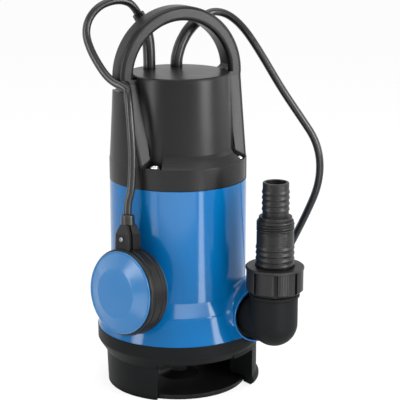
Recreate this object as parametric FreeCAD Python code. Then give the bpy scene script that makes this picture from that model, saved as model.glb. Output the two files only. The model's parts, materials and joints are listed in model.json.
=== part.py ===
import FreeCAD, Part
import math
import os

from FreeCAD import Placement, Rotation, Vector

# Submersible sump pump, millimetres, +Z up.
# The origin is on the floor at the pump's own axis, X runs across the handle,
# and the outlet faces -Y.

# Whole pump
CASING_R = 64.4
CASING_WALL = 3.0
BASE_TOP_Z = 56.0
CASING_H = 143.6
CASING_TOP_Z = BASE_TOP_Z + CASING_H
CAN_H = 99.4
CAN_TOP_Z = CASING_TOP_Z + CAN_H
FIT = 0.05
SLIDE_GAP = 0.4

# Intake base
COLLAR_R = 77.7
COLLAR_WALL = 3.6
COLLAR_LOW_Z = 42.3
LEG_R = 69.5
LEG_TOP_Z = 31.3
OUTLET_LEG_R = 75.4
LEG_WALL = 4.0
LEG_INNER_R = 52.0
SLOT_TOP_Z = 36.8
SLOT_CORNER_R = 3.0
SLOT_EDGE_R = 2.0
SLOT_OUTER_HALF = 53.0
SLOT_INNER_HALF = 43.5
FOOT_BEAD = 2.5
FOOT_BEAD_Z = 5.5
LEDGE_R = 61.0
LEDGE_T = 3.6
FLOOR_R = 64.4
FLOOR_T = 3.0
FLOOR_LIP_H = 4.6
FLOOR_LIP_T = 3.0
SPREADER_R = 20.0
SPREADER_H = 7.0

# Long screws that hold floor plate and base to the casing
BASE_SCREW_PCR = 56.5
BASE_SCREW_ANGLE = 62.0
BASE_SCREW_R = 2.5
BASE_SCREW_HEAD_R = 4.6
BASE_SCREW_HEAD_H = 2.6
BASE_SCREW_REACH = 10.0
COLUMN_R = 6.2

# Suction plate and pump chamber
PLATE_T = 4.0
EYE_R = 24.0
EYE_LIP_H = 6.0
EYE_LIP_T = 3.0
CHAMBER_H = 40.0
CHAMBER_TOP_Z = BASE_TOP_Z + CHAMBER_H
VOLUTE_START_R = 45.0
VOLUTE_GROWTH = 2.6
VOLUTE_WALL = 3.5
PARTITION_T = 4.0

# Casing skirt
SHOULDER_TOP_H = 37.8
SHOULDER_TOP_Z = BASE_TOP_Z + SHOULDER_TOP_H
SHOULDER_LOW_H = 24.0
SHOULDER_LOW_Z = BASE_TOP_Z + SHOULDER_LOW_H
SHOULDER_R = 69.9
SKIRT_R = 77.3
CASING_FLANGE_H = 9.0
CASING_FLANGE_W = 6.0

# Outlet, tangential to the pump chamber
OUTLET_X = 46.0
OUTLET_H = 20.8
OUTLET_Z = BASE_TOP_Z + OUTLET_H
BOSS_FACE_Y = -73.8
BOSS_R = 27.0
BOSS_RIM_T = 9.5
BOSS_TAIL_Y = -35.0
BOSS_TAIL_L = 60.0
BOSS_WEB_START_Y = -72.6
# web round the boss: angle from -X upwards, radius it reaches on the casing, length on the boss
BOSS_WEB = [
    (-62, 37.0, 12.0), (-46, 37.0, 12.0), (-30, 37.0, 12.0), (-15, 37.0, 12.0), (0, 37.0, 12.0),
    (12, 36.8, 12.0), (24, 36.4, 12.0), (36, 35.8, 11.5), (48, 35.0, 10.5), (60, 32.8, 8.5),
    (72, 30.9, 6.0), (84, 29.6, 4.0), (96, 28.7, 2.8), (108, 28.0, 1.8), (118, 27.6, 1.0)]
BOSS_WEB_LIFT = 1.6
SOCKET_R = 25.2
THROAT_R = 23.6
SOCKET_DEPTH = 7.0
OUTLET_BORE_R = 15.0
SPIGOT_R = 18.0
SPIGOT_L = 12.0
ELBOW_R = 21.6
ELBOW_REACH = 26.7
ELBOW_Y = BOSS_FACE_Y - ELBOW_REACH
ELBOW_BEAD_R = 23.2
ELBOW_BEAD_H = 26.5
ELBOW_BEAD_Z = OUTLET_Z + ELBOW_BEAD_H
NUT_RISE = 30.0
NUT_LOW_Z = OUTLET_Z + NUT_RISE
NUT_H = 25.0
NUT_TOP_Z = NUT_LOW_Z + NUT_H
NUT_R = 26.9
NUT_LOBES = 8
NUT_LOBE_R = 17.5
NUT_SLOT_W = 3.4
NUT_SLOT_DEPTH = 2.8
NUT_RIM_H = 2.4
NUT_RIM_LIP = 0.25
NUT_TURN = 15.7
NECK_THREAD_R = 20.6
NECK_THREAD_H = 14.0
SEAL_T = 1.6
FLANGE_T = 4.0
BARB_FOOT_R = 15.9
BIG_BARB_R = 17.7
BIG_BARB_L = 31.9
BIG_BARB_TOP_Z = NUT_TOP_Z + BIG_BARB_L
BIG_RIDGE_DROP = 14.5
THREAD_R = 16.62
THREAD_L = 11.3
THREAD_TOP_Z = BIG_BARB_TOP_Z + THREAD_L
STEP_R = 15.15
STEP_L = 3.4
STEP_TOP_Z = THREAD_TOP_Z + STEP_L
SMALL_BARB_R = 12.6
SMALL_BARB_L = 31.1
SMALL_BARB_TOP_Z = STEP_TOP_Z + SMALL_BARB_L
SMALL_RIDGE_DROP = 9.1
RIDGES = 4
RIDGE_PITCH = 5.26
RIDGE_DEPTH = 0.65
CONNECTOR_BORE_R = 9.6
CONNECTOR_LOW_BORE_R = 12.5

# Top cover and handle
CAN_TOP_R = 48.8
CAN_FOOT_R = 51.5
CAN_FOOT_H = 28.7
CAN_FOOT_Z = CASING_TOP_Z + CAN_FOOT_H
COVER_WALL = 3.0
COVER_FLANGE_H = 21.0
FLANGE_EDGE_Z = CASING_TOP_Z + COVER_FLANGE_H
FRONT_STEP = 0.6
HANDLE_H = 61.2
HANDLE_TOP_Z = CAN_TOP_Z + HANDLE_H
HANDLE_OUTER_R = 63.5
HANDLE_T = 13.4
HANDLE_HALF_W = 10.6
HANDLE_EDGE_R = 4.0
HANDLE_CORNER_R = 6.0
HANDLE_CORNER_HALF_W = 7.0
GUSSET_TOP_DROP = 6.4
GUSSET_TOP_Z = CAN_TOP_Z - GUSSET_TOP_DROP
GUSSET_FOOT_HALF_W = 30.4
GUSSET_FOOT_H = 4.8
GUSSET_FOOT_Z = FLANGE_EDGE_Z + GUSSET_FOOT_H
SECTOR_ANGLE = 59.0
CLIP_DROP = 2.6
CLIP_TOP_Z = CAN_TOP_Z - CLIP_DROP
CLIP_H = 10.8
CLIP_LOW_Z = CLIP_TOP_Z - CLIP_H
CLIP_DEPTH = 9.4
SCREW_INSET = 6.9
SCREW_PCR = CASING_R - SCREW_INSET
SCREW_ANGLE = 49.5
SCREW_R = 2.0
SCREW_HEAD_R = 4.0
SCREW_HEAD_H = 2.8
SCREW_SEAT_DROP = 4.0
SCREW_SEAT_Z = FLANGE_EDGE_Z - SCREW_SEAT_DROP
SCREW_REACH = 34.0
SCREW_BOSS_R = 4.6

# Cable entries
ENTRY_X = 14.4
ENTRY_Y = 29.4
BOOT_R = 5.75
BOOT_FOOT_R = 7.8
BOOT_FOOT_H = 2.6
BOOT_COLLAR_R = 6.6
BOOT_COLLAR_T = 2.6
CORD_R = 3.7
GLAND_T = 5.0
GLAND_SCREW_X = 25.4
GLAND_POST_R = 2.9

# Shaft train
SHAFT_NUT_R = 4.0
SHAFT_HUB_R = 6.0
SHAFT_SEAL_R = 7.0
SHAFT_LOW_BEARING_R = 8.5
SHAFT_ROTOR_R = 10.0
SHAFT_TOP_BEARING_R = 7.5
SHAFT_LIFT = 1.5
SHAFT_LOW_Z = BASE_TOP_Z + SHAFT_LIFT
IMPELLER_R = 41.0
IMPELLER_LIFT = 7.0
IMPELLER_LOW_Z = BASE_TOP_Z + IMPELLER_LIFT
VANE_H = 12.0
VANE_T = 3.0
VANE_COUNT = 6
IMPELLER_DISC_T = 3.2
HUB_R = 11.5
HUB_DROP = 7.0
HUB_TOP_Z = CHAMBER_TOP_Z - HUB_DROP
IMPELLER_NUT_H = 5.5
IMPELLER_NUT_R = 7.5

# Seals and lower bearing
CARRIER_FLANGE_R = 28.0
CARRIER_FLANGE_T = 4.0
CARRIER_BODY_R = 15.5
CARRIER_H = 18.5
CARRIER_TOP_Z = CHAMBER_TOP_Z + CARRIER_H
LIP_SEAL_R = 12.0
LIP_SEAL_H = 5.0
LOW_BEARING_R = 20.0
LOW_BEARING_H = 12.0
TOP_BEARING_R = 17.5
TOP_BEARING_H = 11.0
RACE_T = 4.2
SHIELD_REACH = 7.2

# Motor
HOUSING_R = SCREW_PCR - SCREW_BOSS_R - SLIDE_GAP
HOUSING_WALL = 3.0
HOUSING_LIFT = 0.5
HOUSING_LOW_Z = CARRIER_TOP_Z + HOUSING_LIFT
HOUSING_FLOOR_T = 4.0
STACK_RISE = 24.0
STACK_LOW_Z = HOUSING_LOW_Z + STACK_RISE
STACK_H = 54.0
ROTOR_R = 25.0
AIR_GAP = 0.5
STATOR_SLOTS = 12
SLOT_W = 6.5
TOOTH_TIP_T = 2.0
YOKE_T = 9.0
SLOT_DEPTH = HOUSING_R - HOUSING_WALL - ROTOR_R - AIR_GAP - TOOTH_TIP_T - YOKE_T
END_WINDING_H = 12.0
CAGE_RING_T = 5.0
BRACKET_RISE = 15.5
BRACKET_Z = STACK_LOW_Z + STACK_H + BRACKET_RISE
BRACKET_T = 4.0
UPPER_BEARING_DROP = 8.0
BRACKET_SCREW_INSET = 4.8
BRACKET_SCREW_PCR = HOUSING_R - HOUSING_WALL - BRACKET_SCREW_INSET
BRACKET_SCREW_R = 2.0

# Control parts above the motor
TRAY_R = 43.0
TRAY_T = 2.5
CAPACITOR_R = 16.0
CAPACITOR_H = 54.0
CAPACITOR_X = -20.0
CAPACITOR_Y = -8.0
TERMINAL_L = 30.0
TERMINAL_W = 16.0
TERMINAL_H = 13.0
TERMINAL_X = 21.0

# Float switch
FLOAT_ANGLE = -59.0
FLOAT_Z = 110.2
FLOAT_FACE_ANGLE = -71.5
FLOAT_LEAN = 5.2
FLOAT_ROLL = 5.6
FLOAT_R = 40.0
FLOAT_HALF_W = 10.6
FLOAT_DOME = 5.2
FLOAT_CLEAR = 7.2
FLOAT_AXIS_R = CASING_R + FLOAT_HALF_W + FLOAT_DOME + FLOAT_CLEAR
FLOAT_FACE_R = 37.8
FLOAT_DISC_R = 17.0
FLOAT_WALL = 2.2
FLOAT_RIB_H = 0.6
FLOAT_NECK_TOP = 61.0
SWITCH_STEM_LOW = 21.5
FLOAT_COLLAR_R = 6.2
FLOAT_CABLE_END = 70.0
NECK_FOOT_W = 17.5
NECK_TOP_W = 11.5
NECK_BULGE = 1.1
NECK_GROOVE_W = 4.4
NECK_GROOVE_DEPTH = 1.6
NECK_GROOVE_Z = 4.5
BALL_R = 6.0
BALL_TRAVEL = 16.0
TRACK_WALL = 1.5

# Cord routes, chosen points: where each one goes, in order
FLOAT_PIVOT = (-59.6, -15.6, 288.9)
MAINS_BOOT_ROUTE = [
    (14.4, 29.4, 296.0), (14.4, 29.4, 306.4), (18.4, 29.2, 319.6),
    (25.6, 29.0, 331.1), (32.9, 28.8, 338.3), (40.0, 28.6, 342.9)]
FLOAT_BOOT_ROUTE = [
    (-14.4, 29.4, 296.0), (-14.4, 29.4, 311.0), (-15.4, 29.0, 326.0),
    (-18.9, 29.0, 338.8), (-25.6, 29.0, 350.6)]
MAINS_ROUTE = [
    (40.0, 28.6, 342.9), (47.1, 28.4, 347.5), (56.3, 27.6, 348.8),
    (66.0, 24.4, 346.3), (74.2, 18.4, 339.4), (81.3, 9.6, 328.0),
    (90.7, -0.7, 308.0), (104.3, -15.8, 276.0), (119.6, -27.6, 248.4),
    (131.6, -34.5, 227.8), (136.8, -36.5, 204.9), (136.5, -33.0, 179.9),
    (131.5, -23.0, 154.1), (127.8, -6.0, 123.9), (122.7, 14.0, 89.2),
    (115.3, 38.0, 52.7), (80.0, 57.0, 21.0), (50.0, 76.0, 6.2),
    (27.0, 91.0, 5.1), (11.6, 112.0, 5.1), (6.6, 134.0, 5.1),
    (6.6, 153.0, 5.1)]
FLOAT_LOOP_ROUTE = [
    (-25.6, 29.0, 350.6), (-30.5, 29.0, 359.2), (-40.4, 29.2, 364.2),
    (-52.4, 29.6, 364.2), (-65.5, 30.4, 359.6), (-75.8, 30.8, 348.6),
    (-79.8, 28.4, 335.0), (-78.2, 20.6, 321.0), (-75.0, 12.0, 309.6),
    (-71.2, 3.2, 299.6), (-66.2, -5.4, 292.3)]
FLOAT_DROP_ROUTE = [
    FLOAT_PIVOT, (-61.3, -21.4, 281.4), (-62.8, -27.2, 265.6),
    (-63.3, -30.7, 247.4), (-63.8, -32.8, 231.0), (-64.9, -34.0, 214.6),
    (-66.8, -35.4, 199.6)]

# The put-away length of the mains cord, wound behind the pump
COIL_X = 70.0
COIL_Y = 153.0
COIL_MEAN_R = 49.0
COIL_PITCH = 7.2
COIL_COLUMNS = 5
COIL_LAYERS = 6
COIL_LOW_Z = 1.5
COIL_CORNER = 3.2
TIE_T = 1.2
TIE_W = 14.0
TIE_ANGLE = -40.0
TAIL_ROUTE = [
    (21.0, 153.0, 43.6), (24.0, 176.0, 50.0), (40.0, 196.0, 57.0),
    (64.0, 203.0, 62.0), (84.0, 197.7, 63.4), (93.6, 190.5, 63.4)]
PLUG_R = 18.5
PLUG_L = 34.0
PLUG_RELIEF_L = 26.0
PIN_R = 2.4
PIN_L = 19.0
PIN_SPACING = 19.0

SLOT_SIDES = (-1, 1)
UP = Vector(0, 0, 1)


# Small helpers

def cyl(r, z0, z1, x=0.0, y=0.0):
    return Part.makeCylinder(r, z1 - z0, Vector(x, y, z0))


def ring(r_out, r_in, z0, z1, x=0.0, y=0.0):
    return cyl(r_out, z0, z1, x, y).cut(cyl(r_in, z0 - 1, z1 + 1, x, y))


def outlet_cylinder(r, y0, y1):
    return Part.makeCylinder(r, y0 - y1, Vector(OUTLET_X, y0, OUTLET_Z), Vector(0, -1, 0))


def box(x0, x1, y0, y1, z0, z1):
    return Part.makeBox(x1 - x0, y1 - y0, z1 - z0, Vector(x0, y0, z0))


def polar(angle, r, z=0.0):
    # angle 0 is the outlet side, -Y, and a positive angle turns towards +X
    a = math.radians(angle)
    return Vector(r * math.sin(a), -r * math.cos(a), z)


def polygon_face(points):
    return Part.Face(Part.makePolygon(points + [points[0]]))


def turned(profile):
    # profile: (radius, z) corners, turned about the Z axis
    face = polygon_face([Vector(r, 0, z) for r, z in profile])
    return face.revolve(Vector(0, 0, 0), UP, 360)


def joined(shapes):
    first = shapes[0]
    if len(shapes) > 1:
        first = first.fuse(shapes[1:])
    return first.removeSplitter()


def cut_all(shape, tools):
    for tool in tools:
        shape = shape.cut(tool)
    return shape


def fillet_if(shape, radius, pick):
    edges = [e for e in shape.Edges if pick(e)]
    return shape.makeFillet(radius, edges)


def screw_spots(pcr, angle):
    return [polar(a, pcr) for a in (angle, 180 - angle, -angle, angle - 180)]


def pan_screw(spot, seat_z, r, head_r, head_h, reach, up=True):
    sign = 1 if up else -1
    head = Part.makeCylinder(head_r, head_h, Vector(spot.x, spot.y, seat_z), UP * sign)
    rim = [e for e in head.Edges if abs(e.BoundBox.ZMin - (seat_z + sign * head_h)) < 0.01
           and e.BoundBox.ZLength < 0.01]
    head = head.makeFillet(head_h * 0.45, rim)
    shank = Part.makeCylinder(r, reach, Vector(spot.x, spot.y, seat_z), UP * -sign)
    slot = box(-head_r * 0.6, head_r * 0.6, -0.5, 0.5, 0, head_h)
    cross = slot.fuse(box(-0.5, 0.5, -head_r * 0.6, head_r * 0.6, 0, head_h))
    depth = seat_z + sign * head_h * 0.45 if up else seat_z - head_h * 1.45
    cross.translate(Vector(spot.x, spot.y, depth))
    return joined([head, shank]).cut(cross)


def save(name, shape):
    shape.exportStep("parts/" + name + ".step")


# Cords: straight runs joined by tangent arcs

def cord_wire(points, name):
    pts = [Vector(*p) for p in points]
    edges = []
    radii = []
    here = pts[0]
    for i in range(1, len(pts) - 1):
        back = pts[i - 1] - pts[i]
        ahead = pts[i + 1] - pts[i]
        short = min(back.Length, ahead.Length)
        turn = math.pi - back.getAngle(ahead)
        trim = 0.45 * short
        radii.append(trim / math.tan(turn / 2))
        back.normalize()
        ahead.normalize()
        start = pts[i] + back * trim
        end = pts[i] + ahead * trim
        bisector = (back + ahead).normalize()
        mid = pts[i] + bisector * (radii[-1] / math.cos(turn / 2) - radii[-1])
        edges.append(Part.LineSegment(here, start).toShape())
        edges.append(Part.Arc(start, mid, end).toShape())
        here = end
    edges.append(Part.LineSegment(here, pts[-1]).toShape())
    wire = Part.Wire(edges)
    print(name, "length %.1f" % wire.Length, "radii", [round(r) for r in radii])
    return wire


def loop_route():
    # stops just short of the ball at the float's pivot
    last = Vector(*FLOAT_LOOP_ROUTE[-1])
    pivot = Vector(*FLOAT_PIVOT)
    way = (pivot - last).normalize()
    end = pivot - way * (CORD_R + 0.3)
    return FLOAT_LOOP_ROUTE + [tuple(end)]


def drop_route():
    # runs into the float's collar along the neck
    place = float_placement()
    ahead = place.multVec(Vector(0, FLOAT_CABLE_END + 10, 0))
    end = place.multVec(Vector(0, FLOAT_CABLE_END, 0))
    return FLOAT_DROP_ROUTE + [tuple(ahead), tuple(end)]


def cord_tube(points, r, name):
    wire = cord_wire(points, name)
    first = (Vector(*points[1]) - Vector(*points[0])).normalize()
    section = Part.Wire(Part.makeCircle(r, Vector(*points[0]), first))
    tube = wire.makePipeShell([section], True, True)
    ideal = math.pi * r * r * wire.Length
    print(name, "volume ratio %.4f" % (tube.Volume / ideal))
    return tube


# Intake base, suction plate and what fastens them

def mouth_side(grow):
    # outline of an intake mouth seen from above, wider towards the outside
    outer = SLOT_OUTER_HALF + grow
    inner = SLOT_INNER_HALF + grow
    reach = COLLAR_R + 10
    return [Vector(-inner, 0, 0), Vector(-inner, -LEG_R * 0.36, 0), Vector(-outer, -reach, 0),
            Vector(outer, -reach, 0), Vector(inner, -LEG_R * 0.36, 0), Vector(inner, 0, 0)]


def mouth_prism(grow, z0, z1, corner=0.0):
    half = polygon_face(mouth_side(grow)).extrude(UP * (z1 - z0))
    if corner:
        side_x = SLOT_INNER_HALF + grow - 0.1
        half = fillet_if(half, corner, lambda e: (
            e.BoundBox.ZMin > z1 - z0 - 0.1 and e.BoundBox.YLength > 1
            and min(abs(e.BoundBox.XMin), abs(e.BoundBox.XMax)) > side_x))
    other = half.mirror(Vector(0, 0, 0), Vector(0, 1, 0))
    both = half.fuse(other)
    both.translate(UP * z0)
    return both


def boss_room():
    # room in base and suction plate for the outlet boss, which reaches below the seam
    return [
        outlet_cylinder(THROAT_R + SLIDE_GAP, -30, BOSS_FACE_Y - 20),
        outlet_cylinder(BOSS_R + SLIDE_GAP, BOSS_FACE_Y + BOSS_RIM_T + SLIDE_GAP, BOSS_FACE_Y - 20)]


def leg_face_r(z):
    if z <= LEG_TOP_Z:
        return LEG_R - 1.2 * (1 - z / LEG_TOP_Z)
    return LEG_R + (z - LEG_TOP_Z) * (COLLAR_R - 1 - LEG_R) / (COLLAR_LOW_Z - LEG_TOP_Z)


def is_mouth_edge(edge):
    # an edge of an intake mouth on the outer face of the leg away from the outlet
    box_of = edge.BoundBox
    if box_of.ZMax > SLOT_TOP_Z + 0.02 or abs(edge.CenterOfMass.y) < 5:
        return False
    if box_of.ZLength < 0.01 and box_of.ZMin < SLOT_TOP_Z - 0.1:
        return False
    span = edge.LastParameter - edge.FirstParameter
    for k in range(5):
        v = edge.valueAt(edge.FirstParameter + span * (0.1 + 0.2 * k))
        if abs(math.hypot(v.x, v.y) - leg_face_r(v.z)) > 0.05:
            return False
    return True


def intake_base():
    inner = COLLAR_R - COLLAR_WALL
    leg_in = FLOOR_R + SLIDE_GAP
    left = turned([
        (inner, BASE_TOP_Z), (COLLAR_R, BASE_TOP_Z), (COLLAR_R, COLLAR_LOW_Z + 2),
        (COLLAR_R - 1, COLLAR_LOW_Z), (LEG_R, LEG_TOP_Z), (LEG_R - 1.2, 0),
        (leg_in, 0), (leg_in, LEG_TOP_Z), (inner, COLLAR_LOW_Z)])
    bead = OUTLET_LEG_R + FOOT_BEAD
    right = turned([
        (leg_in, 0), (OUTLET_LEG_R - 1.5, 0), (bead, FOOT_BEAD_Z - 2), (bead, FOOT_BEAD_Z),
        (OUTLET_LEG_R, FOOT_BEAD_Z + 3), (OUTLET_LEG_R, COLLAR_LOW_Z + 1), (inner, COLLAR_LOW_Z + 1),
        (leg_in, LEG_TOP_Z)])
    right = right.common(box(20, 100, -100, 100, -1, 100))
    shell = joined([left, right])
    ledge_z = BASE_TOP_Z - PLATE_T - LEDGE_T
    ledge = ring(inner + 1, LEDGE_R, ledge_z, ledge_z + LEDGE_T)
    webs = ring(leg_in + 1, LEG_INNER_R, FLOOR_LIP_H + SLIDE_GAP, ledge_z + 1)
    webs = webs.common(mouth_prism(LEG_WALL, 0, BASE_TOP_Z))
    legs = joined([shell, ledge, webs])
    legs = legs.cut(mouth_prism(0, -1, SLOT_TOP_Z, SLOT_CORNER_R))
    legs = fillet_if(legs, SLOT_EDGE_R, is_mouth_edge)
    columns = [cyl(COLUMN_R, FLOOR_T + FIT, ledge_z + LEDGE_T, s.x, s.y)
               for s in screw_spots(BASE_SCREW_PCR, BASE_SCREW_ANGLE)]
    base = joined([legs] + columns)
    holes = [cyl(BASE_SCREW_R + FIT, -1, BASE_TOP_Z, s.x, s.y)
             for s in screw_spots(BASE_SCREW_PCR, BASE_SCREW_ANGLE)]
    rim = ring(FLOOR_R + SLIDE_GAP, SLOT_INNER_HALF, -1, FLOOR_LIP_H + SLIDE_GAP)
    keep = [cyl(COLUMN_R, FLOOR_T + FIT, BASE_TOP_Z, s.x, s.y)
            for s in screw_spots(BASE_SCREW_PCR, BASE_SCREW_ANGLE)]
    base = base.cut(cut_all(rim, keep))
    base = cut_all(base, holes)
    return cut_all(base, boss_room())


def floor_plate():
    disc = turned([
        (0, 0), (FLOOR_R - 1.0, 0), (FLOOR_R, 1.0), (FLOOR_R, FLOOR_LIP_H),
        (FLOOR_R - FLOOR_LIP_T, FLOOR_LIP_H), (FLOOR_R - FLOOR_LIP_T, FLOOR_T),
        (SPREADER_R, FLOOR_T), (SPREADER_R * 0.4, SPREADER_H), (0, SPREADER_H)])
    for spot in screw_spots(BASE_SCREW_PCR, BASE_SCREW_ANGLE):
        hole = cyl(BASE_SCREW_R + FIT, -1, FLOOR_T + 1, spot.x, spot.y)
        sink = cyl(BASE_SCREW_HEAD_R + FIT, -1, BASE_SCREW_HEAD_H - 0.6, spot.x, spot.y)
        around = cyl(COLUMN_R + FIT, FLOOR_T, FLOOR_LIP_H + 1, spot.x, spot.y)
        disc = cut_all(disc, [hole, sink, around])
    return disc


def base_screws():
    screws = []
    for spot in screw_spots(BASE_SCREW_PCR, BASE_SCREW_ANGLE):
        head_low = 0.3
        head_top = BASE_SCREW_HEAD_H - 0.6
        head = cyl(BASE_SCREW_HEAD_R, head_low, head_top, spot.x, spot.y)
        shank = cyl(BASE_SCREW_R, head_top, BASE_TOP_Z + BASE_SCREW_REACH, spot.x, spot.y)
        screws.append(joined([head, shank]))
    return Part.makeCompound(screws)


def suction_plate():
    outer = COLLAR_R - COLLAR_WALL - FIT
    z1 = BASE_TOP_Z
    z0 = z1 - PLATE_T
    plate = turned([
        (EYE_R, z1), (outer, z1), (outer, z0), (EYE_R + EYE_LIP_T + 4, z0),
        (EYE_R + EYE_LIP_T + 1, z0 - EYE_LIP_H), (EYE_R + 2, z0 - EYE_LIP_H)])
    holes = [cyl(BASE_SCREW_R + FIT, z0 - 1, z1 + 1, s.x, s.y)
             for s in screw_spots(BASE_SCREW_PCR, BASE_SCREW_ANGLE)]
    return cut_all(plate, holes + boss_room())


# Pump casing with its volute

def volute_outline(extra):
    # four quarter arcs from -Y by way of -X and +Y, growing towards the outlet at +X
    g = VOLUTE_GROWTH
    r = VOLUTE_START_R + extra
    centres = [(0, 0), (-g, 0), (-g, -g), (0, -g)]
    edges = []
    start = 270.0
    first = None
    for i, (cx, cy) in enumerate(centres):
        radius = r + i * g
        pts = []
        for a in (start, start - 45, start - 90):
            rad = math.radians(a)
            pts.append(Vector(cx + radius * math.cos(rad), cy + radius * math.sin(rad), 0))
        if first is None:
            first = pts[0]
        else:
            pts[0] = last
        edges.append(Part.Arc(pts[0], pts[1], pts[2]).toShape())
        last = pts[2]
        start -= 90
    edges.append(Part.LineSegment(last, first).toShape())
    return Part.Face(Part.Wire(edges))


def volute_solid(extra, z0, z1):
    # the growing radius follows the impeller, clockwise from above
    solid = volute_outline(extra).extrude(UP * (z1 - z0))
    solid.translate(UP * z0)
    return solid


def casing_outer():
    return turned([
        (0, BASE_TOP_Z), (SKIRT_R, BASE_TOP_Z), (SHOULDER_R, SHOULDER_LOW_Z),
        (SHOULDER_R - 0.6, SHOULDER_LOW_Z + 1.0), (CASING_R, SHOULDER_TOP_Z),
        (CASING_R, CASING_TOP_Z), (0, CASING_TOP_Z)])


def casing_inner():
    w = CASING_WALL
    return turned([
        (0, BASE_TOP_Z - 1), (SKIRT_R - w, BASE_TOP_Z - 1), (SKIRT_R - w, BASE_TOP_Z + 1),
        (SHOULDER_R - w, SHOULDER_LOW_Z), (CASING_R - w, SHOULDER_TOP_Z),
        (CASING_R - w, CASING_TOP_Z + 1), (0, CASING_TOP_Z + 1)])


def casing_face_y(x, z):
    # front face of the casing at a spot seen from -Y
    if z >= SHOULDER_TOP_Z:
        r = CASING_R
    elif z >= SHOULDER_LOW_Z:
        r = SHOULDER_R + (CASING_R - SHOULDER_R) * (z - SHOULDER_LOW_Z) / (SHOULDER_TOP_Z - SHOULDER_LOW_Z)
    else:
        r = SKIRT_R + (SHOULDER_R - SKIRT_R) * (z - BASE_TOP_Z) / (SHOULDER_LOW_Z - BASE_TOP_Z)
    return -math.sqrt(r * r - x * x)


def boss_web_section(angle, reach_r, length):
    # closed outline in the plane through the outlet's axis: a bow from the boss to the casing
    cos_a = math.cos(math.radians(angle))
    sin_a = math.sin(math.radians(angle))

    def face_y(r):
        return casing_face_y(OUTLET_X - r * cos_a, OUTLET_Z + r * sin_a)

    def spot(r, y):
        return Vector(OUTLET_X - r * cos_a, y, OUTLET_Z + r * sin_a)

    inside = BOSS_R - 3.0
    start_y = max(BOSS_WEB_START_Y, face_y(BOSS_R) - length)
    bend_y = face_y(BOSS_R) - min(BOSS_WEB_LIFT, 0.16 * length)
    end_y = face_y(reach_r) + 0.45
    bow = Part.BezierCurve()
    bow.setPoles([spot(BOSS_R - 0.25, start_y), spot(BOSS_R, bend_y), spot(reach_r, end_y)])
    corners = [spot(reach_r, end_y), spot(reach_r - 1, end_y + 6), spot(inside, face_y(inside) + 6),
               spot(inside, start_y), spot(BOSS_R - 0.25, start_y)]
    edges = [bow.toShape()] + [Part.LineSegment(p, q).toShape() for p, q in zip(corners, corners[1:])]
    return Part.Wire(edges)


def boss_outer():
    # outlet boss: a cylinder whose back end is rounded off in the casing's side, and its web
    end_y = BOSS_TAIL_Y + BOSS_TAIL_L
    bow = Part.Ellipse(Vector(0, end_y, 0), Vector(BOSS_R, BOSS_TAIL_Y, 0), Vector(0, BOSS_TAIL_Y, 0))
    corners = [Vector(BOSS_R, BOSS_TAIL_Y, 0), Vector(BOSS_R, BOSS_FACE_Y + 2, 0),
               Vector(0, BOSS_FACE_Y + 2, 0), Vector(0, end_y, 0)]
    edges = [Part.ArcOfEllipse(bow, 0, math.pi / 2).toShape()]
    edges += [Part.LineSegment(p, q).toShape() for p, q in zip(corners, corners[1:])]
    body = Part.Face(Part.Wire(edges)).revolve(Vector(0, 0, 0), Vector(0, 1, 0), 360)
    body.translate(Vector(OUTLET_X, 0, OUTLET_Z))
    web = Part.makeLoft([boss_web_section(*row) for row in BOSS_WEB], True, False)
    above = box(-100, 100, -200, 60, BASE_TOP_Z, 150)
    return joined([body.common(above), web.common(above)])


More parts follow.
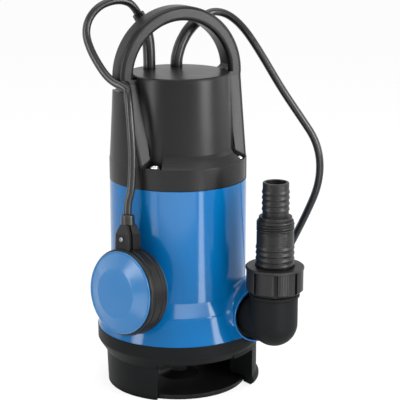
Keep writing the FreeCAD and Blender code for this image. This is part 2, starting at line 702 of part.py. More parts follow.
def pump_casing():
    outer = casing_outer()
    inner = casing_inner()
    shell = outer.cut(inner)
    partition = cyl(CASING_R - 1, CHAMBER_TOP_Z, CHAMBER_TOP_Z + PARTITION_T)
    volute = volute_solid(VOLUTE_WALL, BASE_TOP_Z, CHAMBER_TOP_Z + 1).common(outer)
    rim = outlet_cylinder(BOSS_R, BOSS_FACE_Y + BOSS_RIM_T, BOSS_FACE_Y)
    rim = fillet_if(rim, 1.2, lambda e: abs(e.BoundBox.YMax - BOSS_FACE_Y) < 0.01)
    throat = outlet_cylinder(THROAT_R, -20, BOSS_FACE_Y + 1)
    throat = throat.common(box(-100, 200, -200, 0, BASE_TOP_Z, 150).fuse(
        box(-100, 200, -200, -SKIRT_R * 0.78, 0, 150)))
    solid_front = joined([boss_outer().cut(inner), rim, throat])
    top_flange = turned([
        (CASING_R - CASING_FLANGE_W, CASING_TOP_Z), (CASING_R - 1, CASING_TOP_Z),
        (CASING_R - 1, CASING_TOP_Z - CASING_FLANGE_H - 4),
        (CASING_R - CASING_WALL, CASING_TOP_Z - CASING_FLANGE_H - 4),
        (CASING_R - CASING_FLANGE_W, CASING_TOP_Z - CASING_FLANGE_H)])
    screw_low = SCREW_SEAT_Z - SCREW_REACH
    bosses = [cyl(SCREW_BOSS_R, screw_low - 4, CASING_TOP_Z, s.x, s.y).common(outer)
              for s in screw_spots(SCREW_PCR, SCREW_ANGLE)]
    stand = ring(HOUSING_R - 3, HOUSING_R - 8, CHAMBER_TOP_Z + PARTITION_T - 1, HOUSING_LOW_Z)
    body = joined([shell, partition, volute, solid_front, top_flange, stand] + bosses)
    chamber = volute_solid(0, BASE_TOP_Z - 1, CHAMBER_TOP_Z)
    bore = outlet_cylinder(OUTLET_BORE_R, 4, BOSS_FACE_Y - 1)
    socket = outlet_cylinder(SOCKET_R, BOSS_FACE_Y + SOCKET_DEPTH, BOSS_FACE_Y - 1)
    spigot_bore = outlet_cylinder(SPIGOT_R + FIT, BOSS_FACE_Y + SOCKET_DEPTH + SPIGOT_L, BOSS_FACE_Y)
    seal_hole = cyl(CARRIER_BODY_R + FIT, CHAMBER_TOP_Z - 1, CHAMBER_TOP_Z + PARTITION_T + 1)
    holes = [cyl(SCREW_R + FIT, screw_low - 1, CASING_TOP_Z + 1, s.x, s.y)
             for s in screw_spots(SCREW_PCR, SCREW_ANGLE)]
    low_holes = [cyl(BASE_SCREW_R + FIT, BASE_TOP_Z - 1, BASE_TOP_Z + BASE_SCREW_REACH, s.x, s.y)
                 for s in screw_spots(BASE_SCREW_PCR, BASE_SCREW_ANGLE)]
    groove = ring(CASING_R - 1.4, CASING_R - 3.4, CASING_TOP_Z - 1.8, CASING_TOP_Z + 1)
    low_bosses = []
    for angle in (BASE_SCREW_ANGLE, 180 - BASE_SCREW_ANGLE, -BASE_SCREW_ANGLE, BASE_SCREW_ANGLE - 180):
        spot = polar(angle, BASE_SCREW_PCR)
        rib = box(VOLUTE_START_R, SKIRT_R, -2, 2, BASE_TOP_Z, CHAMBER_TOP_Z)
        rib.rotate(Vector(0, 0, 0), UP, angle - 90)
        low_bosses.append(cyl(COLUMN_R, BASE_TOP_Z, BASE_TOP_Z + BASE_SCREW_REACH + 3, spot.x, spot.y))
        low_bosses.append(rib)
    body = joined([body] + [b.common(outer).cut(chamber) for b in low_bosses])
    return cut_all(body, [chamber, bore, socket, spigot_bore, seal_hole, groove] + holes + low_holes)


def cover_seal():
    return ring(CASING_R - 1.4 - FIT, CASING_R - 3.4 + FIT, CASING_TOP_Z - 1.8, CASING_TOP_Z)


# Outlet elbow, union nut and stepped hose connector

def outlet_elbow():
    z_bead = NUT_LOW_Z - 0.5
    barrel = turned([
        (0, OUTLET_Z), (ELBOW_R, OUTLET_Z), (ELBOW_R, ELBOW_BEAD_Z - 0.8),
        (ELBOW_BEAD_R, ELBOW_BEAD_Z), (ELBOW_BEAD_R, z_bead - 0.6), (ELBOW_BEAD_R - 0.6, z_bead),
        (NECK_THREAD_R, z_bead), (NECK_THREAD_R, z_bead + NECK_THREAD_H), (0, z_bead + NECK_THREAD_H)])
    barrel.translate(Vector(OUTLET_X, ELBOW_Y, 0))
    ball = Part.makeSphere(ELBOW_R, Vector(OUTLET_X, ELBOW_Y, OUTLET_Z))
    seat_y = BOSS_FACE_Y + SOCKET_DEPTH
    arm = Part.makeCylinder(ELBOW_R, seat_y - SEAL_T - ELBOW_Y, Vector(OUTLET_X, seat_y - SEAL_T, OUTLET_Z),
                            Vector(0, -1, 0))
    spigot = outlet_cylinder(SPIGOT_R, seat_y + SPIGOT_L - 1, seat_y - SEAL_T - 1)
    body = joined([barrel, ball, arm, spigot])
    up_bore = cyl(OUTLET_BORE_R, OUTLET_Z, z_bead + NECK_THREAD_H + 1, OUTLET_X, ELBOW_Y)
    side_bore = outlet_cylinder(OUTLET_BORE_R, seat_y + SPIGOT_L, ELBOW_Y)
    bend = Part.makeSphere(OUTLET_BORE_R, Vector(OUTLET_X, ELBOW_Y, OUTLET_Z))
    return cut_all(body, [up_bore, side_bore, bend])


def elbow_seal():
    seat_y = BOSS_FACE_Y + SOCKET_DEPTH
    outer = outlet_cylinder(SOCKET_R - FIT, seat_y, seat_y - SEAL_T)
    return outer.cut(outlet_cylinder(SPIGOT_R + FIT, seat_y + 1, seat_y - SEAL_T - 1))


def connector_base_z():
    return NUT_LOW_Z - 0.5 + NECK_THREAD_H


def connector_seal():
    z0 = connector_base_z()
    return ring(NECK_THREAD_R, OUTLET_BORE_R + 1, z0, z0 + SEAL_T, OUTLET_X, ELBOW_Y)


def ridge_profile(r, crest_z):
    # saw teeth that let a hose slip down and hold it against pulling off
    points = []
    for i in range(RIDGES):
        z = crest_z - i * RIDGE_PITCH
        points.append((r - RIDGE_DEPTH, z + RIDGE_PITCH * 0.5))
        points.append((r, z + RIDGE_PITCH * 0.1))
        points.append((r, z - RIDGE_PITCH * 0.08))
        points.append((r - RIDGE_DEPTH, z - RIDGE_PITCH * 0.2))
    return points


def hose_connector():
    z0 = connector_base_z() + SEAL_T
    z1 = z0 + FLANGE_T
    small_r = SMALL_BARB_R - RIDGE_DEPTH
    big_r = BIG_BARB_R - RIDGE_DEPTH
    profile = [(CONNECTOR_BORE_R, SMALL_BARB_TOP_Z), (small_r - 0.5, SMALL_BARB_TOP_Z),
               (small_r, SMALL_BARB_TOP_Z - 0.5)]
    profile += ridge_profile(SMALL_BARB_R, SMALL_BARB_TOP_Z - SMALL_RIDGE_DROP)
    profile += [(small_r, STEP_TOP_Z + 0.6), (small_r + 0.6, STEP_TOP_Z), (STEP_R - 0.5, STEP_TOP_Z),
                (STEP_R, STEP_TOP_Z - 0.5), (STEP_R, THREAD_TOP_Z), (THREAD_R - 0.6, THREAD_TOP_Z),
                (THREAD_R, THREAD_TOP_Z - 0.6), (THREAD_R, BIG_BARB_TOP_Z), (big_r - 0.2, BIG_BARB_TOP_Z),
                (big_r, BIG_BARB_TOP_Z - 0.4)]
    profile += ridge_profile(BIG_BARB_R, BIG_BARB_TOP_Z - BIG_RIDGE_DROP)
    profile += [(big_r, NUT_TOP_Z - 1), (BARB_FOOT_R, NUT_TOP_Z - 2), (BARB_FOOT_R, z1),
                (NECK_THREAD_R - 0.4, z1), (NECK_THREAD_R - 0.4, z0), (CONNECTOR_LOW_BORE_R, z0),
                (CONNECTOR_LOW_BORE_R, STEP_TOP_Z - 6), (CONNECTOR_BORE_R, STEP_TOP_Z)]
    solid = turned(profile)
    solid.translate(Vector(OUTLET_X, ELBOW_Y, 0))
    return solid


def nut_outline():
    # seen from above: one bowed face per lobe, with a shallow valley between two faces
    crest = NUT_R - NUT_RIM_LIP
    offset = crest - NUT_LOBE_R
    half = math.pi / NUT_LOBES
    valley = offset * math.cos(half) + math.sqrt(NUT_LOBE_R ** 2 - (offset * math.sin(half)) ** 2)
    edges = []
    for i in range(NUT_LOBES):
        corners = []
        for turn, r in ((-half, valley), (0.0, crest), (half, valley)):
            a = 2 * half * i + turn
            corners.append(Vector(r * math.cos(a), r * math.sin(a), 0))
        edges.append(Part.Arc(*corners).toShape())
    return Part.Face(Part.Wire(edges))


def union_nut():
    bore = NECK_THREAD_R + 0.08
    throat = BIG_BARB_R + SLIDE_GAP
    z_ledge = connector_base_z() + SEAL_T + FLANGE_T + 0.1
    grip_top = NUT_TOP_Z - NUT_RIM_H
    body = turned([
        (bore, NUT_LOW_Z), (NUT_R - 4.0, NUT_LOW_Z), (NUT_R, NUT_LOW_Z + 3.6),
        (NUT_R, NUT_TOP_Z - 0.9), (NUT_R - 0.9, NUT_TOP_Z), (throat, NUT_TOP_Z),
        (throat, z_ledge), (bore, z_ledge)])
    lobes = nut_outline().extrude(UP * (grip_top - NUT_LOW_Z + 1))
    lobes.translate(UP * (NUT_LOW_Z - 1))
    body = body.cut(cyl(NUT_R + 1, NUT_LOW_Z - 1, grip_top).cut(lobes))
    for i in range(NUT_LOBES):
        slot = box(NUT_R - NUT_SLOT_DEPTH, NUT_R + 1, -NUT_SLOT_W / 2, NUT_SLOT_W / 2, NUT_LOW_Z - 1, grip_top)
        slot.rotate(Vector(0, 0, 0), UP, 360.0 * (i + 0.5) / NUT_LOBES)
        body = body.cut(slot)
    body.rotate(Vector(0, 0, 0), UP, 90.0 - 180.0 / NUT_LOBES + NUT_TURN)
    body.translate(Vector(OUTLET_X, ELBOW_Y, 0))
    return body


# Top cover with its handle

def cover_outer():
    return turned([
        (0, CASING_TOP_Z), (CASING_R - FRONT_STEP, CASING_TOP_Z), (CASING_R - FRONT_STEP, FLANGE_EDGE_Z - 1.2),
        (CASING_R - FRONT_STEP - 1.2, FLANGE_EDGE_Z), (CAN_FOOT_R + 3.0, CAN_FOOT_Z - 2.4),
        (CAN_FOOT_R + 0.6, CAN_FOOT_Z + 1.0), (CAN_TOP_R, CAN_TOP_Z - 2.4),
        (CAN_TOP_R - 0.8, CAN_TOP_Z - 0.7), (CAN_TOP_R - 2.6, CAN_TOP_Z), (0, CAN_TOP_Z)])


def cover_inner():
    w = COVER_WALL
    return turned([
        (0, CASING_TOP_Z - 1), (CASING_R - CASING_FLANGE_W, CASING_TOP_Z - 1),
        (CASING_R - CASING_FLANGE_W, CASING_TOP_Z + 5), (CASING_R - w - FRONT_STEP, CASING_TOP_Z + 8),
        (CASING_R - w - FRONT_STEP, SCREW_SEAT_Z - w), (CAN_FOOT_R - w, SCREW_SEAT_Z - w),
        (CAN_TOP_R - w, CAN_TOP_Z - w), (0, CAN_TOP_Z - w)])


def handle_centre_z():
    return HANDLE_TOP_Z - HANDLE_OUTER_R


def handle_section(x):
    # rounded rectangle at one foot of the arch
    r = HANDLE_EDGE_R
    x0 = x - HANDLE_T
    face = box(x0, x, -HANDLE_HALF_W, HANDLE_HALF_W, 0, 1)
    face = fillet_if(face, r, lambda e: e.BoundBox.ZLength > 0.5)
    flat = [f for f in face.Faces if f.BoundBox.ZLength < 0.001 and f.BoundBox.ZMin < 0.001][0]
    flat.translate(UP * handle_centre_z())
    return flat


def pillar_section(half_w, x_out, bend_r, z):
    # section of a pillar: a bowed outer face, rounded corners and straight sides
    c = HANDLE_EDGE_R
    x0 = x_out - bend_r
    x_in = CAN_TOP_R - 4
    cx = math.sqrt((bend_r - c) ** 2 - (half_w - c) ** 2)
    centre = Vector(x0 + cx, half_w - c, z)
    on_side = Vector(x0 + cx, half_w, z)
    away = Vector(cx, half_w - c, 0).normalize()
    on_face = centre + away * c
    corner = centre + (away + Vector(0, 1, 0)).normalize() * c
    edges = [
        Part.LineSegment(Vector(x_in, half_w, z), on_side),
        Part.Arc(on_side, corner, on_face),
        Part.Arc(on_face, Vector(x_out, 0, z), flip_y(on_face)),
        Part.Arc(flip_y(on_face), flip_y(corner), flip_y(on_side)),
        Part.LineSegment(flip_y(on_side), Vector(x_in, -half_w, z)),
        Part.LineSegment(Vector(x_in, -half_w, z), Vector(x_in, half_w, z))]
    return Part.Wire([e.toShape() for e in edges])


def flip_y(v):
    return Vector(v.x, -v.y, v.z)


def pillar(side):
    # pillar under one foot of the arch, flaring down to the flange
    top = handle_centre_z()
    foot = FLANGE_EDGE_Z - 5.0
    slope = (GUSSET_FOOT_HALF_W - HANDLE_HALF_W) / (GUSSET_TOP_Z - GUSSET_FOOT_Z)
    foot_half = GUSSET_FOOT_HALF_W + slope * (GUSSET_FOOT_Z - foot)
    sections = [
        pillar_section(foot_half, CASING_R - 0.1, CASING_R - 0.1, foot),
        pillar_section(HANDLE_HALF_W, HANDLE_OUTER_R, HANDLE_OUTER_R, GUSSET_TOP_Z),
        pillar_section(HANDLE_HALF_W, HANDLE_OUTER_R, 1000.0, top)]
    body = Part.makeLoft(sections, True, True)
    skirt = turned([
        (CASING_R - COVER_WALL - 1, CASING_TOP_Z), (CASING_R, CASING_TOP_Z),
        (CASING_R, FLANGE_EDGE_Z - 1.2), (CASING_R - 1.2, FLANGE_EDGE_Z), (CASING_R - 6, FLANGE_EDGE_Z + 2)])
    reach = CASING_R + 10
    half = math.radians(90 - SECTOR_ANGLE)
    wedge = polygon_face([
        Vector(0, 0, 0), Vector(reach, -reach * math.tan(half), 0), Vector(reach, reach * math.tan(half), 0)])
    wedge = wedge.extrude(UP * 400)
    body = body.fuse(skirt.common(wedge))
    if side < 0:
        body = body.mirror(Vector(0, 0, 0), Vector(1, 0, 0))
    return body


def handle_corner(side):
    # concave web that rounds the corner between can top and handle
    c = HANDLE_CORNER_R
    x_in = HANDLE_OUTER_R - HANDLE_T
    centre = Vector(x_in - c, 0, CAN_TOP_Z + c)
    slant = c * math.sqrt(0.5)
    low = Vector(x_in - c, 0, CAN_TOP_Z)
    mid = centre + Vector(slant, 0, -slant)
    high = Vector(x_in, 0, CAN_TOP_Z + c)
    back = [high, Vector(x_in + 2, 0, CAN_TOP_Z + c), Vector(x_in + 2, 0, CAN_TOP_Z - 2),
            Vector(x_in - c, 0, CAN_TOP_Z - 2), low]
    edges = [Part.Arc(low, mid, high)] + [Part.LineSegment(p, q) for p, q in zip(back, back[1:])]
    face = Part.Face(Part.Wire([e.toShape() for e in edges]))
    web = face.extrude(Vector(0, 2 * HANDLE_CORNER_HALF_W, 0))
    web.translate(Vector(0, -HANDLE_CORNER_HALF_W, 0))
    if side < 0:
        web = web.mirror(Vector(0, 0, 0), Vector(1, 0, 0))
    return web


def pillar_hollow(side):
    # moulding relief under each pillar, open into the skirt
    w = COVER_WALL
    low = SCREW_SEAT_Z - w - 1
    high = GUSSET_TOP_Z - 26
    foot_half = GUSSET_FOOT_HALF_W - 7
    outline = [
        Vector(0, -foot_half, low), Vector(0, -HANDLE_HALF_W + w, high),
        Vector(0, HANDLE_HALF_W - w, high), Vector(0, foot_half, low)]
    prism = polygon_face(outline).extrude(Vector(side * 90, 0, 0))
    outer = turned([(0, low), (CASING_R - w - 0.6, low), (HANDLE_OUTER_R - w - 0.6, high), (0, high)])
    inner = cyl(CAN_FOOT_R + 1.5, low - 1, high + 1)
    return prism.common(outer).cut(inner)


def screw_pocket(spot):
    # triangular recess that drops the screw seat below the flange top
    a = math.degrees(math.atan2(spot.x, -spot.y))
    ahead = SCREW_HEAD_R + 1.6
    points = [Vector(-ahead - 3, -ahead, 0), Vector(-ahead * 0.9, ahead + 3.5, 0),
              Vector(ahead * 0.9, ahead + 3.5, 0), Vector(ahead + 3, -ahead, 0)]
    prism = polygon_face(points).extrude(UP * 40)
    prism.rotate(Vector(0, 0, 0), UP, a)
    prism.translate(Vector(spot.x, spot.y, SCREW_SEAT_Z))
    keep = ring(CASING_R + 5, CAN_FOOT_R - 0.4, SCREW_SEAT_Z - 1, SCREW_SEAT_Z + 45)
    return prism.common(keep)


def top_cover():
    body = cover_outer()
    arch = [handle_section(HANDLE_OUTER_R).revolve(Vector(0, 0, handle_centre_z()), Vector(0, -1, 0), 180)]
    pillars = [pillar(side) for side in SLOT_SIDES]
    corners = [handle_corner(side) for side in SLOT_SIDES]
    body = joined([body] + pillars + arch + corners)
    body = body.cut(cover_inner())
    bosses = [cyl(SCREW_BOSS_R, CASING_TOP_Z, SCREW_SEAT_Z, s.x, s.y)
              for s in screw_spots(SCREW_PCR, SCREW_ANGLE)]
    ceiling = cyl(CASING_R - 1.0, CASING_TOP_Z, SCREW_SEAT_Z)
    gland_posts = [cyl(GLAND_POST_R, CAN_TOP_Z - COVER_WALL - GLAND_T, CAN_TOP_Z - COVER_WALL + 1, x, ENTRY_Y)
                   for x in (-GLAND_SCREW_X, 0, GLAND_SCREW_X)]
    body = joined([body] + [b.common(ceiling) for b in bosses] + gland_posts)
    pockets = [screw_pocket(s) for s in screw_spots(SCREW_PCR, SCREW_ANGLE)]
    holes = [cyl(SCREW_R + FIT, CASING_TOP_Z - 1, SCREW_SEAT_Z + 1, s.x, s.y)
             for s in screw_spots(SCREW_PCR, SCREW_ANGLE)]
    hollows = [pillar_hollow(side) for side in SLOT_SIDES]
    entries = [cyl(BOOT_R + FIT, CAN_TOP_Z - COVER_WALL - 1, CAN_TOP_Z + 1, x, ENTRY_Y)
               for x in (-ENTRY_X, ENTRY_X)]
    return cut_all(body, pockets + holes + hollows + entries + [clip_slot()])


def clip_slot():
    # open notch in the left pillar that grips the float cord
    z_mid = (CLIP_LOW_Z + CLIP_TOP_Z) / 2
    half_h = (CLIP_TOP_Z - CLIP_LOW_Z) / 2
    x_in = -HANDLE_OUTER_R + CLIP_DEPTH
    notch = box(-90, x_in - half_h, -40, 40, CLIP_LOW_Z, CLIP_TOP_Z)
    end = Part.makeCylinder(half_h, 80, Vector(x_in - half_h, -40, z_mid), Vector(0, 1, 0))
    return notch.fuse(end)


def cover_screws():
    return Part.makeCompound([
        pan_screw(s, SCREW_SEAT_Z, SCREW_R, SCREW_HEAD_R, SCREW_HEAD_H, SCREW_REACH)
        for s in screw_spots(SCREW_PCR, SCREW_ANGLE)])


# Cable entries

def boot(route, name):
    x, y, z = route[0]
    tube = cord_tube(route, BOOT_R, name)
    foot = cyl(BOOT_FOOT_R, z - BOOT_FOOT_H, z, x, y)
    tip = Vector(*route[-1])
    way = (tip - Vector(*route[-2])).normalize()
    collar = Part.makeCylinder(BOOT_COLLAR_R, BOOT_COLLAR_T, tip - way * BOOT_COLLAR_T, way)
    collar = fillet_if(collar, 0.9, lambda e: e.Curve.TypeId == "Part::GeomCircle")
    return joined([tube, foot, collar])


def gland_plate():
    z1 = CAN_TOP_Z - COVER_WALL - GLAND_T
    z0 = z1 - 4.0
    plate = box(-GLAND_SCREW_X - 3.2, GLAND_SCREW_X + 3.2, ENTRY_Y - 6.5, ENTRY_Y + 6.0, z0, z1)
    plate = fillet_if(plate, 3, lambda e: e.BoundBox.ZLength > 3)
    rings = [cyl(BOOT_FOOT_R - 0.4, z1 - 0.2, CAN_TOP_Z - COVER_WALL - BOOT_FOOT_H, x, ENTRY_Y)
             for x in (-ENTRY_X, ENTRY_X)]
    plate = joined([plate] + rings)
    holes = [cyl(CORD_R + 0.3, z0 - 1, CAN_TOP_Z, x, ENTRY_Y) for x in (-ENTRY_X, ENTRY_X)]
    screws = [cyl(1.5 + FIT, z0 - 1, z1 + 1, x, ENTRY_Y) for x in (-GLAND_SCREW_X, 0, GLAND_SCREW_X)]
    return cut_all(plate, holes + screws)


def gland_screws():
    z0 = CAN_TOP_Z - COVER_WALL - GLAND_T - 4.0
    return Part.makeCompound([
        joined([cyl(1.5, z0 - 0.2, z0 + 4.0 - FIT, x, ENTRY_Y), cyl(2.8, z0 - 2.0, z0, x, ENTRY_Y)])
        for x in (-GLAND_SCREW_X, 0, GLAND_SCREW_X)])


# Shaft train

def shaft():
    z_seal = HUB_TOP_Z
    z_low = HOUSING_LOW_Z + HOUSING_FLOOR_T
    z_rotor = z_low + LOW_BEARING_H + 0.5
    z_top = BRACKET_Z - UPPER_BEARING_DROP
    return turned([
        (0, SHAFT_LOW_Z), (SHAFT_NUT_R, SHAFT_LOW_Z), (SHAFT_NUT_R, IMPELLER_LOW_Z + 1),
        (SHAFT_HUB_R, IMPELLER_LOW_Z + 1), (SHAFT_HUB_R, z_seal), (SHAFT_SEAL_R, z_seal),
        (SHAFT_SEAL_R, z_low - 2), (SHAFT_LOW_BEARING_R, z_low - 2), (SHAFT_LOW_BEARING_R, z_rotor),
        (SHAFT_ROTOR_R, z_rotor), (SHAFT_ROTOR_R, z_top - 1), (SHAFT_TOP_BEARING_R, z_top - 1),
        (SHAFT_TOP_BEARING_R, z_top + TOP_BEARING_H + 0.5), (0, z_top + TOP_BEARING_H + 0.5)])


def vane(angle):
    # backward-curved blade for a clockwise turn seen from above, a strip between two arcs
    inner = HUB_R - 0.5
    outer = IMPELLER_R - 0.6
    sweep = 52.0
    a = math.radians(angle)
    b = math.radians(angle + sweep)
    p = Vector(inner * math.cos(a), inner * math.sin(a), 0)
    q = Vector(outer * math.cos(b), outer * math.sin(b), 0)
    chord = q - p
    side = Vector(chord.y, -chord.x, 0).normalize()
    half = chord.Length / 2
    sag = half * 0.34
    radius = (half * half + sag * sag) / (2 * sag)
    centre = p + chord * 0.5 + side * (sag - radius)
    edges = []
    rings = []
    for r in (radius + VANE_T / 2, radius - VANE_T / 2):
        spots = [centre + (v - centre).normalize() * r for v in (p, centre + side * r, q)]
        rings.append(spots)
        edges.append(Part.Arc(spots[0], spots[1], spots[2]).toShape())
    edges.append(Part.LineSegment(rings[0][0], rings[1][0]).toShape())
    edges.append(Part.LineSegment(rings[0][2], rings[1][2]).toShape())
    face = Part.Face(Part.Wire(Part.__sortEdges__(edges)))
    blade = face.extrude(UP * (VANE_H + 0.5))
    blade.translate(UP * IMPELLER_LOW_Z)
    return blade


def impeller():
    disc_z = IMPELLER_LOW_Z + VANE_H
    disc = turned([
        (0, IMPELLER_LOW_Z), (HUB_R - 3.5, IMPELLER_LOW_Z), (HUB_R, IMPELLER_LOW_Z + 4),
        (HUB_R, disc_z - 3), (HUB_R + 6, disc_z), (IMPELLER_R, disc_z),
        (IMPELLER_R, disc_z + IMPELLER_DISC_T * 0.7), (HUB_R + 2, disc_z + IMPELLER_DISC_T + 1.5),
        (HUB_R, disc_z + IMPELLER_DISC_T + 3), (HUB_R, HUB_TOP_Z - FIT), (0, HUB_TOP_Z - FIT)])
    blades = [vane(360.0 * i / VANE_COUNT) for i in range(VANE_COUNT)]
    body = joined([disc] + blades)
    body = body.common(cyl(IMPELLER_R, IMPELLER_LOW_Z, HUB_TOP_Z))
    bore = joined([cyl(SHAFT_HUB_R + FIT, IMPELLER_LOW_Z + 1, HUB_TOP_Z + 1),
                   cyl(SHAFT_NUT_R + FIT, IMPELLER_LOW_Z - 1, IMPELLER_LOW_Z + 2)])
    return body.cut(bore)


def impeller_nut():
    z1 = IMPELLER_LOW_Z
    z0 = z1 - IMPELLER_NUT_H
    points = [polar(60 * i, IMPELLER_NUT_R, z0) for i in range(6)]
    body = polygon_face(points).extrude(UP * IMPELLER_NUT_H)
    return body.cut(cyl(SHAFT_NUT_R + FIT, SHAFT_LOW_Z - 5, z1 + 1))


def rotor_core():
    core = ring(ROTOR_R, SHAFT_ROTOR_R + FIT, STACK_LOW_Z, STACK_LOW_Z + STACK_H)
    grooves = [cyl(0.9, STACK_LOW_Z - 1, STACK_LOW_Z + STACK_H + 1, v.x, v.y)
               for v in (polar(30 * i, ROTOR_R) for i in range(12))]
    return cut_all(core, grooves)


def rotor_cage():
    rings = []
    for z0, z1 in ((STACK_LOW_Z - CAGE_RING_T, STACK_LOW_Z),
                   (STACK_LOW_Z + STACK_H, STACK_LOW_Z + STACK_H + CAGE_RING_T)):
        rings.append(ring(ROTOR_R - 1.5, SHAFT_ROTOR_R + 4, z0, z1))
    return Part.makeCompound(rings)


def bearing_outer(r, h, z):
    # outer race with its two shields
    body = ring(r, r - RACE_T, z, z + h)
    shields = [ring(r - RACE_T + 0.2, r - SHIELD_REACH, z + d, z + d + 0.8) for d in (0.6, h - 1.4)]
    return joined([body] + shields)


def bearing_inner(bore, r, h, z):
    return ring(r - SHIELD_REACH - 0.4, bore + FIT, z, z + h)


# Seals, motor housing, stator

def seal_carrier():
    z0 = CHAMBER_TOP_Z
    z1 = z0 + PARTITION_T
    body = turned([
        (0, z0), (CARRIER_BODY_R, z0), (CARRIER_BODY_R, z1), (CARRIER_FLANGE_R, z1),
        (CARRIER_FLANGE_R, z1 + CARRIER_FLANGE_T), (CARRIER_BODY_R + 2, z1 + CARRIER_FLANGE_T),
        (CARRIER_BODY_R + 1, CARRIER_TOP_Z), (0, CARRIER_TOP_Z)])
    pocket_low = cyl(LIP_SEAL_R + FIT, z0 - 1, z0 + LIP_SEAL_H)
    pocket_high = cyl(LIP_SEAL_R + FIT, CARRIER_TOP_Z - LIP_SEAL_H, CARRIER_TOP_Z + 1)
    oil = cyl(SHAFT_SEAL_R + 2.5, z0 - 1, CARRIER_TOP_Z + 1)
    screws = [cyl(1.6, z1 - 1, z1 + CARRIER_FLANGE_T + 1, v.x, v.y)
              for v in (polar(a, CARRIER_FLANGE_R - 5) for a in (0, 120, 240))]
    return cut_all(body, [pocket_low, pocket_high, oil] + screws)


def carrier_screws():
    z1 = CHAMBER_TOP_Z + PARTITION_T + CARRIER_FLANGE_T
    spots = [polar(a, CARRIER_FLANGE_R - 5) for a in (0, 120, 240)]
    return Part.makeCompound([
        joined([cyl(1.5, z1 - CARRIER_FLANGE_T, z1 + 0.5, v.x, v.y), cyl(2.8, z1, z1 + 2, v.x, v.y)])
        for v in spots])


def lip_seal(z0):
    # rubber ring with an inward lip that rides on the shaft
    lip = SHAFT_SEAL_R + FIT
    return turned([
        (LIP_SEAL_R, z0), (LIP_SEAL_R, z0 + LIP_SEAL_H), (lip + 2.6, z0 + LIP_SEAL_H),
        (lip + 1.0, z0 + LIP_SEAL_H * 0.6), (lip, z0 + LIP_SEAL_H * 0.55), (lip, z0 + LIP_SEAL_H * 0.35),
        (lip + 1.6, z0)])


def motor_housing():
    z0 = HOUSING_LOW_Z
    wall_in = HOUSING_R - HOUSING_WALL
    pocket_z = z0 + HOUSING_FLOOR_T
    hub_r = LOW_BEARING_R + 4
    eye_r = LOW_BEARING_R - RACE_T - 2.0
    return turned([
        (eye_r, z0), (HOUSING_R - 2, z0), (HOUSING_R, z0 + 2), (HOUSING_R, BRACKET_Z),
        (wall_in, BRACKET_Z), (wall_in, z0 + HOUSING_FLOOR_T), (hub_r + 2, z0 + HOUSING_FLOOR_T),
        (hub_r, z0 + HOUSING_FLOOR_T + 2), (hub_r, pocket_z + LOW_BEARING_H),
        (LOW_BEARING_R + FIT, pocket_z + LOW_BEARING_H), (LOW_BEARING_R + FIT, pocket_z),
        (eye_r, pocket_z)])


def stator_core():
    bore = ROTOR_R + AIR_GAP
    core = ring(HOUSING_R - HOUSING_WALL - FIT, bore, STACK_LOW_Z, STACK_LOW_Z + STACK_H)
    for i in range(STATOR_SLOTS):
        slot = box(bore + 2.0, bore + 2.0 + SLOT_DEPTH, -SLOT_W / 2, SLOT_W / 2,
                   STACK_LOW_Z - 1, STACK_LOW_Z + STACK_H + 1)
        mouth = box(bore - 2, bore + 3, -1.2, 1.2, STACK_LOW_Z - 1, STACK_LOW_Z + STACK_H + 1)
        slot = slot.fuse(mouth)
        slot.rotate(Vector(0, 0, 0), UP, 360.0 * i / STATOR_SLOTS)
        core = core.cut(slot)
    return core


def stator_windings():
    bore = ROTOR_R + AIR_GAP
    r_in = bore + 2.4
    r_out = r_in + SLOT_DEPTH + 1.5
    z0 = STACK_LOW_Z
    z1 = STACK_LOW_Z + STACK_H
    parts = []
    for low, high in ((z0 - END_WINDING_H, z0 - FIT), (z1 + FIT, z1 + END_WINDING_H)):
        parts.append(turned([
            (r_in, low + 2.5), (r_in + 2.5, low), (r_out - 2.5, low), (r_out, low + 2.5),
            (r_out, high - 2.5), (r_out - 2.5, high), (r_in + 2.5, high), (r_in, high - 2.5)]))
    for i in range(STATOR_SLOTS):
        bar = box(bore + 2.3, bore + 1.7 + SLOT_DEPTH, -SLOT_W / 2 + 0.3, SLOT_W / 2 - 0.3, z0 - 3, z1 + 3)
        bar.rotate(Vector(0, 0, 0), UP, 360.0 * i / STATOR_SLOTS)
        parts.append(bar)
    return joined(parts)


def upper_bracket():
    hub_r = TOP_BEARING_R + 4
    z_bearing = BRACKET_Z - UPPER_BEARING_DROP
    plate = turned([
        (0, BRACKET_Z + BRACKET_T + 3), (hub_r - 1, BRACKET_Z + BRACKET_T + 3),
        (hub_r, BRACKET_Z + BRACKET_T + 2), (hub_r, BRACKET_Z + BRACKET_T),
        (HOUSING_R, BRACKET_Z + BRACKET_T), (HOUSING_R, BRACKET_Z),
        (HOUSING_R - HOUSING_WALL - FIT, BRACKET_Z), (HOUSING_R - HOUSING_WALL - FIT, BRACKET_Z - 3),
        (HOUSING_R - HOUSING_WALL - 4, BRACKET_Z - 3), (HOUSING_R - HOUSING_WALL - 4, BRACKET_Z),
        (hub_r, BRACKET_Z), (hub_r, z_bearing), (0, z_bearing)])
    pocket = cyl(TOP_BEARING_R + FIT, z_bearing - 1, z_bearing + TOP_BEARING_H)
    relief = cyl(TOP_BEARING_R - RACE_T - 1.5, z_bearing, z_bearing + TOP_BEARING_H + 1.2)
    wires = [cyl(4, BRACKET_Z - 4, BRACKET_Z + BRACKET_T + 1, v.x, v.y)
             for v in (polar(75, 34), polar(-105, 34))]
    screws = [cyl(BRACKET_SCREW_R + 0.1, BRACKET_Z - 4, BRACKET_Z + BRACKET_T + 1, v.x, v.y)
              for v in (polar(a, BRACKET_SCREW_PCR) for a in (0, 120, 240))]
    return cut_all(plate, [pocket, relief] + wires + screws)


